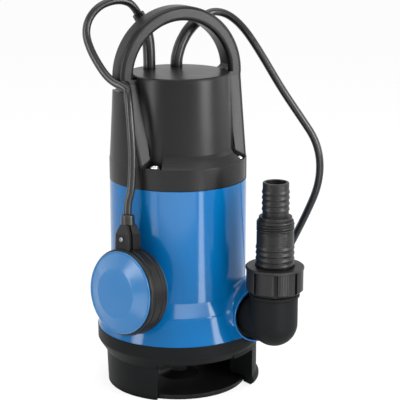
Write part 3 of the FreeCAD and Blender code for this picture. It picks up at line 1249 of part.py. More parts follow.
def bracket_screws():
    # through bolts that draw the bracket, stator stack and housing together
    spots = [polar(a, BRACKET_SCREW_PCR) for a in (0, 120, 240)]
    z1 = BRACKET_Z + BRACKET_T
    z0 = STACK_LOW_Z + STACK_H + FIT
    return Part.makeCompound([
        joined([cyl(BRACKET_SCREW_R, z0, z1 + 0.5, v.x, v.y), cyl(3.2, z1, z1 + 2.5, v.x, v.y)])
        for v in spots])


# Control parts above the motor

def wiring_tray():
    z0 = BRACKET_Z + BRACKET_T + 3
    z1 = z0 + TRAY_T
    disc = cyl(TRAY_R, z0, z1)
    legs = [cyl(3.0, BRACKET_Z + BRACKET_T, z0 + 0.5, v.x, v.y)
            for v in (polar(a, TRAY_R - 5) for a in (60, 180, 300))]
    cup = ring(CAPACITOR_R + 2.4, CAPACITOR_R + 0.3, z1 - 0.5, z1 + 12, CAPACITOR_X, CAPACITOR_Y)
    windows = [cyl(5, z0 - 1, z1 + 1, v.x, v.y) for v in (polar(75, 33), polar(-140, 33))]
    return cut_all(joined([disc, cup] + legs), windows)


def capacitor():
    z0 = BRACKET_Z + BRACKET_T + 3 + TRAY_T
    body = cyl(CAPACITOR_R, z0, z0 + CAPACITOR_H, CAPACITOR_X, CAPACITOR_Y)
    body = fillet_if(body, 2.0, lambda e: e.BoundBox.ZLength < 0.01 and e.BoundBox.ZMin > z0 + 1)
    tabs = [box(CAPACITOR_X + dx - 0.4, CAPACITOR_X + dx + 0.4, CAPACITOR_Y - 3, CAPACITOR_Y + 3,
                z0 + CAPACITOR_H - 1, z0 + CAPACITOR_H + 8) for dx in (-5, 5)]
    return joined([body] + tabs)


def terminal_block():
    z0 = BRACKET_Z + BRACKET_T + 3 + TRAY_T
    x = TERMINAL_X
    body = box(x - TERMINAL_W / 2, x + TERMINAL_W / 2, -TERMINAL_L / 2, TERMINAL_L / 2, z0, z0 + TERMINAL_H)
    wells = []
    for i in range(4):
        y = -TERMINAL_L / 2 + TERMINAL_L * (i + 0.5) / 4
        wells.append(cyl(2.1, z0 + 4, z0 + TERMINAL_H + 1, x, y))
        bore = Part.makeCylinder(1.5, TERMINAL_W + 2, Vector(x - TERMINAL_W / 2 - 1, y, z0 + 5), Vector(1, 0, 0))
        wells.append(bore)
    return cut_all(body, wells)


# Float switch, modelled flat with its face up and its neck along Y, then placed

def float_placement():
    out = polar(FLOAT_FACE_ANGLE, 1)
    lean = math.radians(FLOAT_LEAN)
    roll = math.radians(FLOAT_ROLL)
    level = Vector(out.y, -out.x, 0)
    face = out * math.cos(lean) + UP * math.sin(lean)
    rise = UP * math.cos(lean) - out * math.sin(lean)
    neck = rise * math.cos(roll) + level * math.sin(roll)
    side = neck.cross(face)
    centre = polar(FLOAT_ANGLE, FLOAT_AXIS_R, FLOAT_Z)
    return Placement(centre, Rotation(side, neck, face, "ZYX"))


def on_float(shape):
    shape.Placement = float_placement().multiply(shape.Placement)
    return shape


def band_half(sign):
    # rim of one face with the ledge that its cover sits on, and a moulded rib
    w = FLOAT_HALF_W
    ledge = w - 1.4 - FIT
    r = FLOAT_R - FLOAT_RIB_H
    points = [
        (r, 2.6), (r, 3.2), (FLOAT_R, 3.6), (FLOAT_R, 5.2), (r, 5.6), (r, w - 1.4), (r - 0.4, w - 0.4),
        (r - 0.8, w), (FLOAT_FACE_R, w), (FLOAT_FACE_R, ledge), (FLOAT_FACE_R - 1.6, ledge),
        (FLOAT_FACE_R - 1.6, ledge - 1.2), (FLOAT_R - FLOAT_WALL, ledge - 3.0)]
    return [(x, sign * z) for x, z in points]


def neck_rows():
    # half widths of the neck, from inside the band up to the cable
    foot = NECK_FOOT_W / 2
    top = NECK_TOP_W / 2
    middle = (FLOAT_R + FLOAT_NECK_TOP) / 2 + 2.0
    return [(FLOAT_R - 3.0, foot), (FLOAT_R + 6.0, foot - 0.2),
            (middle, (foot + top) / 2 + NECK_BULGE), (FLOAT_NECK_TOP, top)]


def neck_side(y, half):
    return Part.makePolygon([
        Vector(-half, y, -half), Vector(half, y, -half), Vector(half, y, half),
        Vector(-half, y, half), Vector(-half, y, -half)])


def neck_groove(side):
    # slot down a side of the neck, of one depth all the way
    rows = neck_rows()
    points = [Vector(side * (half - NECK_GROOVE_DEPTH), y, 0) for y, half in rows]
    points += [Vector(side * NECK_FOOT_W, rows[-1][0], 0), Vector(side * NECK_FOOT_W, rows[0][0], 0)]
    groove = polygon_face(points).extrude(UP * NECK_GROOVE_W)
    groove.translate(UP * (NECK_GROOVE_Z - NECK_GROOVE_W / 2))
    return groove


def float_band():
    inner = FLOAT_R - FLOAT_WALL
    band = turned(band_half(1) + band_half(-1)[::-1])
    neck = Part.makeLoft([neck_side(y, half) for y, half in neck_rows()], True, True)
    neck = fillet_if(neck, 1.6, lambda e: e.BoundBox.YLength > 4)
    neck = cut_all(neck, [neck_groove(side) for side in SLOT_SIDES])
    cavity = cyl(inner, -FLOAT_HALF_W + 3.0, FLOAT_HALF_W - 3.0)
    return joined([band, neck.cut(cavity)])


def float_collar():
    body = Part.makeCylinder(FLOAT_COLLAR_R, FLOAT_CABLE_END - FLOAT_NECK_TOP,
                             Vector(0, FLOAT_NECK_TOP, 0), Vector(0, 1, 0))
    return fillet_if(body, 1.8, lambda e: abs(e.BoundBox.YMin - FLOAT_CABLE_END) < 0.01)


def float_cover(side):
    # shallow cone with a flat disc in the middle and a rounded rim
    w = FLOAT_HALF_W
    t = FLOAT_WALL
    r = FLOAT_FACE_R - FIT
    top = w + FLOAT_DOME
    foot = w + 1.3
    profile = [
        (0, top), (FLOAT_DISC_R, top), (FLOAT_DISC_R + 1.5, top - 0.35), (r - 3.0, foot + 0.5),
        (r - 1.6, foot), (r - 0.6, foot - 0.5), (r, foot - 1.4), (r, w - 1.4),
        (r - 1.8, w - 1.4), (r - 3.5, foot - 0.8), (FLOAT_DISC_R + 1.0, top - 0.35 - t), (0, top - t)]
    cover = turned(profile)
    if side < 0:
        cover.rotate(Vector(0, 0, 0), Vector(0, 1, 0), 180)
    return cover


def float_screw():
    y = FLOAT_R + 8.0
    seat = NECK_FOOT_W / 2 - 0.8
    head = Part.makeCylinder(2.2, 1.3, Vector(0, y, seat), UP)
    head = fillet_if(head, 0.6, lambda e: abs(e.BoundBox.ZMin - seat - 1.3) < 0.01)
    shank = Part.makeCylinder(1.2, 8, Vector(0, y, seat - 8), UP)
    return joined([head, shank])


def screw_seat():
    y = FLOAT_R + 8.0
    seat = NECK_FOOT_W / 2 - 0.8
    return joined([Part.makeCylinder(2.2 + FIT, 4, Vector(0, y, seat), UP),
                   Part.makeCylinder(1.2 + FIT, 9, Vector(0, y, seat - 8.5), UP)])


def ball_track():
    # tube along the neck's axis in which the ball rolls to and from the switch
    r = BALL_R + 0.4
    low = -20.0 - BALL_R - 1.0
    high = low + BALL_TRAVEL + 2 * BALL_R + 1.6
    tube = Part.makeCylinder(r + TRACK_WALL, high - low, Vector(0, low, 0), Vector(0, 1, 0))
    bore = Part.makeCylinder(r, high - low, Vector(0, low + 0.6, 0), Vector(0, 1, 0))
    foot_z = -FLOAT_HALF_W + 1.4 + FIT
    feet = box(-r - 0.5, r + 0.5, low, high, foot_z, -r + 0.6)
    reach = math.sqrt((FLOAT_R - FLOAT_WALL) ** 2 - (low + 6) ** 2) - 0.3
    brace = box(-reach, reach, low + 6, low + 9, -3, -1)
    return joined([tube, feet, brace]).cut(bore)


def float_ball():
    return Part.makeSphere(BALL_R, Vector(0, -20.0, 0))


def microswitch():
    body = box(-9.5, 9.5, 12.0, 22.0, -3.2, 3.2)
    stem = box(-4, 4, SWITCH_STEM_LOW, FLOAT_R - FLOAT_WALL - 0.4, -2.2, 2.2)
    return joined([body, stem])


def export_all():
    save("intake_base", intake_base())
    save("floor_plate", floor_plate())
    save("base_screws", base_screws())
    save("suction_plate", suction_plate())
    save("pump_casing", pump_casing())
    save("cover_seal", cover_seal())
    save("outlet_elbow", outlet_elbow())
    save("elbow_seal", elbow_seal())
    save("connector_seal", connector_seal())
    save("hose_connector", hose_connector())
    save("union_nut", union_nut())
    save("top_cover", top_cover())
    save("cover_screws", cover_screws())
    save("mains_boot", boot(MAINS_BOOT_ROUTE, "mains_boot"))
    save("float_boot", boot(FLOAT_BOOT_ROUTE, "float_boot"))
    save("gland_plate", gland_plate())
    save("gland_screws", gland_screws())
    save("shaft", shaft())
    save("impeller", impeller())
    save("impeller_nut", impeller_nut())
    save("rotor_core", rotor_core())
    save("rotor_cage", rotor_cage())
    low_z = HOUSING_LOW_Z + HOUSING_FLOOR_T
    top_z = BRACKET_Z - UPPER_BEARING_DROP
    save("lower_bearing_outer", bearing_outer(LOW_BEARING_R, LOW_BEARING_H, low_z))
    save("lower_bearing_inner", bearing_inner(SHAFT_LOW_BEARING_R, LOW_BEARING_R, LOW_BEARING_H, low_z))
    save("upper_bearing_outer", bearing_outer(TOP_BEARING_R, TOP_BEARING_H, top_z))
    save("upper_bearing_inner", bearing_inner(SHAFT_TOP_BEARING_R, TOP_BEARING_R, TOP_BEARING_H, top_z))
    save("seal_carrier", seal_carrier())
    save("carrier_screws", carrier_screws())
    save("lower_lip_seal", lip_seal(CHAMBER_TOP_Z))
    save("upper_lip_seal", lip_seal(CARRIER_TOP_Z - LIP_SEAL_H))
    save("motor_housing", motor_housing())
    save("stator_core", stator_core())
    save("stator_windings", stator_windings())
    save("upper_bracket", upper_bracket())
    save("bracket_screws", bracket_screws())
    save("wiring_tray", wiring_tray())
    save("capacitor", capacitor())
    save("terminal_block", terminal_block())
    save("float_band", on_float(float_band().cut(screw_seat())))
    save("float_collar", on_float(float_collar()))
    save("float_front_cover", on_float(float_cover(1)))
    save("float_back_cover", on_float(float_cover(-1)))
    save("float_screw", on_float(float_screw()))
    save("float_ball_track", on_float(ball_track()))
    save("float_ball", on_float(float_ball()))
    save("float_microswitch", on_float(microswitch()))
    save("float_cable_loop", cord_tube(loop_route(), CORD_R, "float_loop"))
    drop = cord_tube(drop_route(), CORD_R, "float_drop")
    save("float_cable_drop", joined([drop, Part.makeSphere(CORD_R, Vector(*FLOAT_PIVOT))]))
    save("mains_cable", cord_tube(MAINS_ROUTE, CORD_R, "mains_cable"))
    save("mains_coil", mains_coil())
    save("coil_tie", coil_tie())
    save("mains_tail", cord_tube(TAIL_ROUTE, CORD_R, "mains_tail"))
    save("mains_plug", mains_plug())
    save("plug_pins", plug_pins())


# Coil, tie and plug of the mains cord

def coil_half_w():
    return COIL_COLUMNS * COIL_PITCH / 2


def coil_top_z():
    return COIL_LOW_Z + COIL_LAYERS * COIL_PITCH


def mains_coil():
    c = COIL_CORNER
    r_in = COIL_MEAN_R - coil_half_w()
    r_out = COIL_MEAN_R + coil_half_w()
    low = COIL_LOW_Z
    high = coil_top_z()
    body = turned([
        (r_in, low + c), (r_in + c, low), (r_out - c, low), (r_out, low + c),
        (r_out, high - c), (r_out - c, high), (r_in + c, high), (r_in, high - c)])
    body.translate(Vector(COIL_X, COIL_Y, 0))
    return body


def coil_tie():
    g = FIT
    c = COIL_CORNER
    half_w = coil_half_w() + g
    low = COIL_LOW_Z - g
    high = coil_top_z() + g
    x0 = COIL_MEAN_R - half_w
    x1 = COIL_MEAN_R + half_w
    t = TIE_T

    def loop(x0, x1, low, high, c):
        corners = [(x0, low + c), (x0 + c, low), (x1 - c, low), (x1, low + c),
                   (x1, high - c), (x1 - c, high), (x0 + c, high), (x0, high - c)]
        return [Vector(x, -TIE_W / 2, z) for x, z in corners]

    strap = polygon_face(loop(x0 - t, x1 + t, low - t, high + t, c + t * 0.6))
    strap = strap.extrude(Vector(0, TIE_W, 0))
    inside = polygon_face(loop(x0, x1, low, high, c)).extrude(Vector(0, TIE_W, 0))
    strap = strap.cut(inside)
    strap.rotate(Vector(0, 0, 0), UP, TIE_ANGLE)
    strap.translate(Vector(COIL_X, COIL_Y, 0))
    return strap.cut(mains_coil())


def plug_frame():
    end = Vector(*TAIL_ROUTE[-1])
    way = (end - Vector(*TAIL_ROUTE[-2])).normalize()
    return end, way


def mains_plug():
    end, way = plug_frame()
    relief = Part.makeCone(CORD_R + 1.2, CORD_R + 3.4, PLUG_RELIEF_L, end, way)
    face_z = PLUG_RELIEF_L + PLUG_L
    profile = [
        (0, PLUG_RELIEF_L - 1), (8.5, PLUG_RELIEF_L - 1), (12.0, PLUG_RELIEF_L + 6),
        (PLUG_R - 1.5, PLUG_RELIEF_L + 14), (PLUG_R, PLUG_RELIEF_L + 16), (PLUG_R, face_z - 1),
        (PLUG_R - 1, face_z), (0, face_z)]
    body = turned(profile)
    body.Placement = Placement(end, Rotation(UP, way))
    return joined([relief, body])


def plug_pins():
    end, way = plug_frame()
    across = way.cross(UP).normalize()
    start = end + way * (PLUG_RELIEF_L + PLUG_L)
    pins = []
    for side in (-1, 1):
        spot = start + across * (side * PIN_SPACING / 2)
        pin = Part.makeCylinder(PIN_R, PIN_L, spot, way)
        tip = spot + way * PIN_L
        pins.append(fillet_if(pin, PIN_R * 0.8, lambda e: e.BoundBox.Center.distanceToPoint(tip) < 0.1))
    return Part.makeCompound(pins)


os.makedirs("parts", exist_ok=True)
export_all()
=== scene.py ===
import json
import math

import bmesh
import bpy
from mathutils import Matrix, Vector


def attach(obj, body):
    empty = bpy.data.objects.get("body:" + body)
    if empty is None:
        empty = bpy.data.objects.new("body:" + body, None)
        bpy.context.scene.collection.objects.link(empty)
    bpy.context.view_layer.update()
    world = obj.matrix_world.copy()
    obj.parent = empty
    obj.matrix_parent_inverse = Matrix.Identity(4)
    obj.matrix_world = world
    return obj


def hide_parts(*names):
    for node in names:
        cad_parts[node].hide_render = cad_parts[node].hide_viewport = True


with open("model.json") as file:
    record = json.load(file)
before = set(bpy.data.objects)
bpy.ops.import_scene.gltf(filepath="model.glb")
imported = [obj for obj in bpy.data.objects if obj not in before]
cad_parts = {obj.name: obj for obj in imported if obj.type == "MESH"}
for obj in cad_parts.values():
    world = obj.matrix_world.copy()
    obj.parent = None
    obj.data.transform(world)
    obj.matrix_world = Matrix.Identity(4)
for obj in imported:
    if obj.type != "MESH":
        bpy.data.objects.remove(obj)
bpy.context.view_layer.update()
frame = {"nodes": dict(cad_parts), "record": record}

NODES = frame["nodes"]
MM = 0.001

# The cables' thickness, metres
CORD_D = 0.0074

# Places and sizes repeated from the part, millimetres and degrees
PIVOT = (-59.6, -15.6, 288.9)
OUTLET_X = 46.0
ELBOW_Y = -100.5
FLOAT_CENTRE = (-74.92, -45.01, 110.2)
FLOAT_FACE_ANGLE = -71.5
FLOAT_LEAN = 5.2
FLOAT_ROLL = 5.6
FLOAT_HALF_W = 10.6
FLOAT_FACE_R = 37.75
SCREW_PCR = 57.5
SCREW_ANGLE = 49.5
SCREW_SEAT_Z = 216.6

# Sizes of what the scene adds, millimetres; ribs and steps are counts, the fade is a share of a turn
RING_PITCH = 1.6
GRIP_RIBS = 84
THREAD_LOW_Z = 163.8
THREAD_TOP_Z = 174.9
THREAD_PITCH = 2.309
THREAD_ROOT_R = 16.66
THREAD_CREST_R = 17.3
THREAD_STEPS = 64
THREAD_FADE = 0.3
FLOAT_DOME = 7.0
FLOAT_DISC_R = 22.4
FLOAT_FOOT_H = 1.3
HEAD_R = 4.1
HEAD_H = 4.7
HEAD_CROWN = 1.2
WASHER_R = 5.0
WASHER_H = 1.2
SHANK_R = 1.95
SHANK_L = 20.0
CROSS_REACH = 2.7
CROSS_HALF_W = 0.75
CROSS_DEPTH = 1.5

# Camera at the photograph's angle: place in metres, level direction ahead, tilt down in degrees
CAMERA_AT = (-0.6081, -1.1437, 0.5042)
AHEAD_X = 0.4835
AHEAD_Y = 0.8753
CAMERA_TILT = 14.21
CAMERA_LENS = 126.9

# Shading and light: degrees and metres
SPLIT_ANGLE = 32.0
CASING_SPLIT_ANGLE = 15.0
# reach of the painted shade in corners and hollows
SHADE_REACH = 0.006
BUMP_HEIGHT = 0.0004
FLOOR_SIZE = 30.0
FLOOR_DROP = 0.0002
FLOOR_SHADE = 0.9
FLOOR_GLOW = 0.75
WORLD_LIGHT = 0.25
SUN_STRENGTH = 2.3
SUN_SPREAD = 60.0


def make_camera():
    data = bpy.data.cameras.new("camera")
    data.sensor_width = 36.0
    data.lens = CAMERA_LENS
    data.clip_end = 50.0
    camera = bpy.data.objects.new("camera", data)
    bpy.context.collection.objects.link(camera)
    camera.location = CAMERA_AT
    tilt = math.radians(CAMERA_TILT)
    ahead = Vector((AHEAD_X * math.cos(tilt), AHEAD_Y * math.cos(tilt), -math.sin(tilt)))
    camera.rotation_mode = "QUATERNION"
    camera.rotation_quaternion = ahead.to_track_quat("-Z", "Y")
    bpy.context.scene.camera = camera


make_camera()


# Material helpers: each one makes a fresh node tree

def new_material(name):
    mat = bpy.data.materials.new(name)
    mat.use_nodes = True
    tree = mat.node_tree
    shader = tree.nodes["Principled BSDF"]
    return mat, tree, shader


def noise(tree, scale, detail=3.0, stretch=None):
    node = tree.nodes.new("ShaderNodeTexNoise")
    node.inputs["Scale"].default_value = scale
    node.inputs["Detail"].default_value = detail
    coord = tree.nodes.new("ShaderNodeTexCoord")
    source = coord.outputs["Object"]
    if stretch:
        mapping = tree.nodes.new("ShaderNodeMapping")
        mapping.inputs["Scale"].default_value = stretch
        tree.links.new(source, mapping.inputs["Vector"])
        source = mapping.outputs["Vector"]
    tree.links.new(source, node.inputs["Vector"])
    return node.outputs["Fac"]


def ramp(tree, source, low, high, a, b):
    node = tree.nodes.new("ShaderNodeMapRange")
    node.inputs["From Min"].default_value = low
    node.inputs["From Max"].default_value = high
    node.inputs["To Min"].default_value = a
    node.inputs["To Max"].default_value = b
    tree.links.new(source, node.inputs["Value"])
    return node.outputs["Result"]


def colour_mix(tree, factor, a, b):
    node = tree.nodes.new("ShaderNodeMix")
    node.data_type = "RGBA"
    node.inputs["A"].default_value = (*a, 1)
    node.inputs["B"].default_value = (*b, 1)
    tree.links.new(factor, node.inputs["Factor"])
    return node.outputs["Result"]


def bump(tree, shader, height, strength):
    node = tree.nodes.new("ShaderNodeBump")
    node.inputs["Strength"].default_value = strength
    node.inputs["Distance"].default_value = BUMP_HEIGHT
    tree.links.new(height, node.inputs["Height"])
    tree.links.new(node.outputs["Normal"], shader.inputs["Normal"])
    return node


def plastic(name, dark, light, rough, grain=900.0, grain_bump=0.06, wave=14.0, gloss=0.5, edge=0.0,
            lines=None, ripple=0.0):
    # moulded plastic: a slow change of shade, a fine grain, uneven gloss, painted shade in corners and soft
    # edges
    mat, tree, shader = new_material(name)
    slow = noise(tree, wave, 2.0)
    fine = noise(tree, grain, 2.0)
    shade = ramp(tree, slow, 0.3, 0.7, 0.0, 1.0)
    tree.links.new(colour_mix(tree, shade, dark, light), shader.inputs["Base Color"])
    tree.links.new(ramp(tree, slow, 0.3, 0.7, rough * 0.88, rough * 1.12), shader.inputs["Roughness"])
    # painted shade: the gloss drops where other surfaces are near, so corners, creases and hollows reflect
    # less and look darker
    painted_corner_shade = tree.nodes.new("ShaderNodeAmbientOcclusion")
    painted_corner_shade.samples = 6
    painted_corner_shade.inputs["Distance"].default_value = SHADE_REACH
    shaded_gloss = ramp(tree, painted_corner_shade.outputs["AO"], 0.4, 0.97, 0.1 * gloss, gloss)
    tree.links.new(shaded_gloss, shader.inputs["Specular IOR Level"])
    height = fine
    if lines:
        height = lines(tree, fine)
    if ripple:
        wide = maths(tree, "MULTIPLY", noise(tree, 45.0, 1.0), ripple)
        height = maths(tree, "ADD", wide, height)
    normal = bump(tree, shader, height, grain_bump)
    if edge:
        bevel = tree.nodes.new("ShaderNodeBevel")
        bevel.samples = 4
        bevel.inputs["Radius"].default_value = edge
        tree.links.new(bevel.outputs["Normal"], normal.inputs["Normal"])
    return mat


def maths(tree, operation, a, b):
    node = tree.nodes.new("ShaderNodeMath")
    node.operation = operation
    for socket, value in zip(node.inputs, (a, b)):
        if isinstance(value, (int, float)):
            socket.default_value = value
        else:
            tree.links.new(value, socket)
    return node.outputs["Value"]


def object_axes(tree):
    coord = tree.nodes.new("ShaderNodeTexCoord")
    split = tree.nodes.new("ShaderNodeSeparateXYZ")
    tree.links.new(coord.outputs["Object"], split.inputs["Vector"])
    return [split.outputs[axis] for axis in "XYZ"]


def waves(tree, source, rate, height, fine):
    # even ridges along the source, on top of the fine grain
    wave = maths(tree, "SINE", maths(tree, "MULTIPLY", source, rate), 0.0)
    return maths(tree, "ADD", maths(tree, "MULTIPLY", wave, height), fine)


def turned_rings(tree, fine):
    # fine rings left by the mould along the hose steps
    z = object_axes(tree)[2]
    return waves(tree, z, 2 * math.pi / (RING_PITCH * MM), 0.35, fine)


def grip_ribs(tree, fine):
    # fine upright ribs round the union nut
    x, y = object_axes(tree)[:2]
    across = maths(tree, "SUBTRACT", x, OUTLET_X * MM)
    along = maths(tree, "SUBTRACT", y, ELBOW_Y * MM)
    return waves(tree, maths(tree, "ARCTAN2", along, across), GRIP_RIBS, 0.45, fine)


def metal(name, colour, rough, stretch=(40.0, 40.0, 900.0), metallic=1.0):
    # turned or drawn metal: fine streaks of shade and gloss
    mat, tree, shader = new_material(name)
    streak = noise(tree, 1.0, 3.0, stretch=stretch)
    shade = ramp(tree, streak, 0.3, 0.7, 0.0, 1.0)
    dark = tuple(c * 0.82 for c in colour)
    tree.links.new(colour_mix(tree, shade, dark, colour), shader.inputs["Base Color"])
    tree.links.new(ramp(tree, streak, 0.3, 0.7, rough * 0.8, rough * 1.25), shader.inputs["Roughness"])
    shader.inputs["Metallic"].default_value = metallic
    return mat


DARK = (0.0042, 0.0038, 0.004)
PALER = (0.0062, 0.0057, 0.006)
BLUE = plastic(
    "blue_plastic", (0.0003, 0.071, 0.2), (0.0006, 0.074, 0.209), 0.12, grain_bump=0.012, gloss=0.24,
    edge=0.0006)
FLOAT_BLUE = plastic(
    "float_blue", (0.014, 0.09, 0.218), (0.017, 0.095, 0.228), 0.24, grain_bump=0.03, gloss=0.3,
    edge=0.0006)
BLACK = plastic("black_plastic", DARK, PALER, 0.33, grain_bump=0.1, gloss=0.18, edge=0.0008, ripple=8.0)
NUT_BLACK = plastic(
    "nut_plastic", DARK, PALER, 0.36, grain_bump=0.3, gloss=0.23, edge=0.0006, lines=grip_ribs)
MATT_BLACK = plastic(
    "matt_plastic", (0.0034, 0.0036, 0.004), (0.0052, 0.0056, 0.006), 0.5, grain_bump=0.16, gloss=0.07,
    edge=0.0008, ripple=4.0)
STEP_BLACK = plastic(
    "step_plastic", DARK, PALER, 0.38, grain_bump=0.3, gloss=0.23, edge=0.0004, lines=turned_rings)
RUBBER = plastic(
    "cable_rubber", (0.004, 0.004, 0.004), (0.006, 0.006, 0.006), 0.3, grain_bump=0.02, gloss=0.36)
SEAL = plastic("seal_rubber", (0.008, 0.008, 0.008), (0.011, 0.011, 0.011), 0.6, gloss=0.3)
WHITE = plastic("white_plastic", (0.62, 0.62, 0.6), (0.68, 0.68, 0.66), 0.4)
STEEL = metal("steel", (0.62, 0.62, 0.62), 0.3)
ZINC = metal("zinc", (0.9, 0.9, 0.9), 0.3, metallic=0.75)
DULL_STEEL = metal("dull_steel", (0.22, 0.23, 0.25), 0.25)
ALUMINIUM = metal("aluminium", (0.7, 0.7, 0.72), 0.42)
LAMINATION = metal("lamination", (0.3, 0.3, 0.31), 0.5, stretch=(20.0, 20.0, 2600.0))
COPPER = metal("copper", (0.78, 0.36, 0.18), 0.28)
BRASS = metal("brass", (0.78, 0.6, 0.3), 0.3)

FINISH = {
    "blue_plastic": BLUE, "float_blue": FLOAT_BLUE, "black_plastic": BLACK, "cable_rubber": RUBBER,
    "seal_rubber": SEAL, "white_plastic": WHITE, "steel": STEEL, "aluminium": ALUMINIUM,
    "lamination": LAMINATION, "copper": COPPER, "brass": BRASS}


def dress(obj, mat):
    obj.data.materials.clear()
    obj.data.materials.append(mat)


# nodes whose finish differs from their slot's
OWN_FINISH = {
    "outlet_elbow": MATT_BLACK, "intake_base": MATT_BLACK, "union_nut": NUT_BLACK,
    "hose_connector": STEP_BLACK, "float_screw": DULL_STEEL}

for part in frame["record"]["subparts"]:
    node = part["node"]
    dress(NODES[node], OWN_FINISH.get(node, FINISH[part["material_slot"]]))


def soften(obj, angle=SPLIT_ANGLE):
    # rounded shading on curved CAD faces, with sharp edges kept
    obj.data.shade_smooth()
    mod = obj.modifiers.new("edges", "EDGE_SPLIT")
    mod.split_angle = math.radians(angle)


for node, obj in NODES.items():
    soften(obj, CASING_SPLIT_ANGLE if node == "pump_casing" else SPLIT_ANGLE)


# Pieces turned in mesh code

def lathe(bm, profile, place, segments=96):
    # closed skin of revolution about the place's own Z axis, millimetres
    rings = []
    for r, z in profile:
        count = segments if r > 0 else 1
        turn = [2 * math.pi * k / segments for k in range(count)]
        rings.append([bm.verts.new(place @ Vector((r * math.cos(a) * MM, r * math.sin(a) * MM, z * MM)))
                      for a in turn])
    for low, high in zip(rings, rings[1:] + rings[:1]):
        if len(low) == 1 and len(high) == 1:
            continue
        for k in range(segments):
            n = (k + 1) % segments
            corners = [low[k % len(low)], low[n % len(low)], high[n % len(high)], high[k % len(high)]]
            bm.faces.new(list(dict.fromkeys(corners)))


def finish_piece(bm, name, mat, body):
    bmesh.ops.recalc_face_normals(bm, faces=bm.faces)
    mesh = bpy.data.meshes.new(name)
    bm.to_mesh(mesh)
    bm.free()
    obj = bpy.data.objects.new(name, mesh)
    bpy.context.collection.objects.link(obj)
    mesh.materials.append(mat)
    soften(obj)
    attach(obj, body)
    return obj


def float_axes():
    # the float's own axes: up the neck and out of the front face
    face_turn = math.radians(FLOAT_FACE_ANGLE)
    lean = math.radians(FLOAT_LEAN)
    roll = math.radians(FLOAT_ROLL)
    out = Vector((math.sin(face_turn), -math.cos(face_turn), 0))
    level = Vector((out.y, -out.x, 0))
    up = Vector((0, 0, 1))
    face = out * math.cos(lean) + up * math.sin(lean)
    rise = up * math.cos(lean) - out * math.sin(lean)
    neck = rise * math.cos(roll) + level * math.sin(roll)
    return neck, face


def build_float_faces():
    # wide flat disc on a low cone, with a rounded rim, on both sides of the float
    neck, face = float_axes()
    w = FLOAT_HALF_W
    top = w + FLOAT_DOME
    foot = w + FLOAT_FOOT_H
    profile = [
        (0, top), (FLOAT_DISC_R - 0.5, top), (FLOAT_DISC_R + 0.4, top - 0.2), (FLOAT_DISC_R + 1.2, top - 0.6),
        (FLOAT_FACE_R - 2.6, foot + 0.3), (FLOAT_FACE_R - 1.7, foot), (FLOAT_FACE_R - 1.3, foot + 0.1),
        (FLOAT_FACE_R - 0.9, foot + 0.5), (FLOAT_FACE_R - 0.4, foot + 0.5), (FLOAT_FACE_R, foot),
        (FLOAT_FACE_R, w - FLOAT_FOOT_H), (FLOAT_FACE_R - 1.8, w - FLOAT_FOOT_H),
        (FLOAT_FACE_R - 3.5, foot - 0.8), (FLOAT_DISC_R, top - 2.8), (0, top - 2.2)]
    for name, out in (("front", face), ("back", -face)):
        place = Matrix((neck.cross(out), neck, out)).transposed().to_4x4()
        place.translation = Vector(FLOAT_CENTRE) * MM
        bm = bmesh.new()
        lathe(bm, profile, place)
        piece = finish_piece(bm, "float_face_" + name, FLOAT_BLUE, "float")
        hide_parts("float_" + name + "_cover")


def build_thread():
    # pipe thread between the hose steps: one ridge wound up, fading out at both ends
    bm = bmesh.new()
    ridge = [(0.0, 0.0), (0.38, 1.0), (0.52, 1.0), (0.9, 0.0)]
    turns = (THREAD_TOP_Z - THREAD_LOW_Z) / THREAD_PITCH - ridge[-1][0]
    count = int(turns * THREAD_STEPS)
    rows = []
    for k in range(count + 1):
        a = 2 * math.pi * k / THREAD_STEPS
        fade = min(1.0, min(k, count - k) / (THREAD_STEPS * THREAD_FADE))
        row = []
        for share, lift in ridge:
            r = (THREAD_ROOT_R + (THREAD_CREST_R - THREAD_ROOT_R) * lift * fade) * MM
            z = (THREAD_LOW_Z + THREAD_PITCH * (k / THREAD_STEPS + share)) * MM
            row.append(bm.verts.new((OUTLET_X * MM + r * math.cos(a), ELBOW_Y * MM + r * math.sin(a), z)))
        rows.append(row)
    for low, high in zip(rows, rows[1:]):
        for j in range(len(ridge)):
            n = (j + 1) % len(ridge)
            bm.faces.new((low[j], high[j], high[n], low[n]))
    bm.faces.new(rows[0])
    bm.faces.new(rows[-1][::-1])
    finish_piece(bm, "outlet_thread_ridge", STEP_BLACK, "connector")


def cross_depth(x, y):
    # 1 inside the cross recess, 0 outside, with a short slope between
    along, across = max(abs(x), abs(y)), min(abs(x), abs(y))
    beside = min(1.0, max(0.0, (CROSS_HALF_W - across) / 0.3))
    return beside * min(1.0, max(0.0, (CROSS_REACH - along) / 0.5))


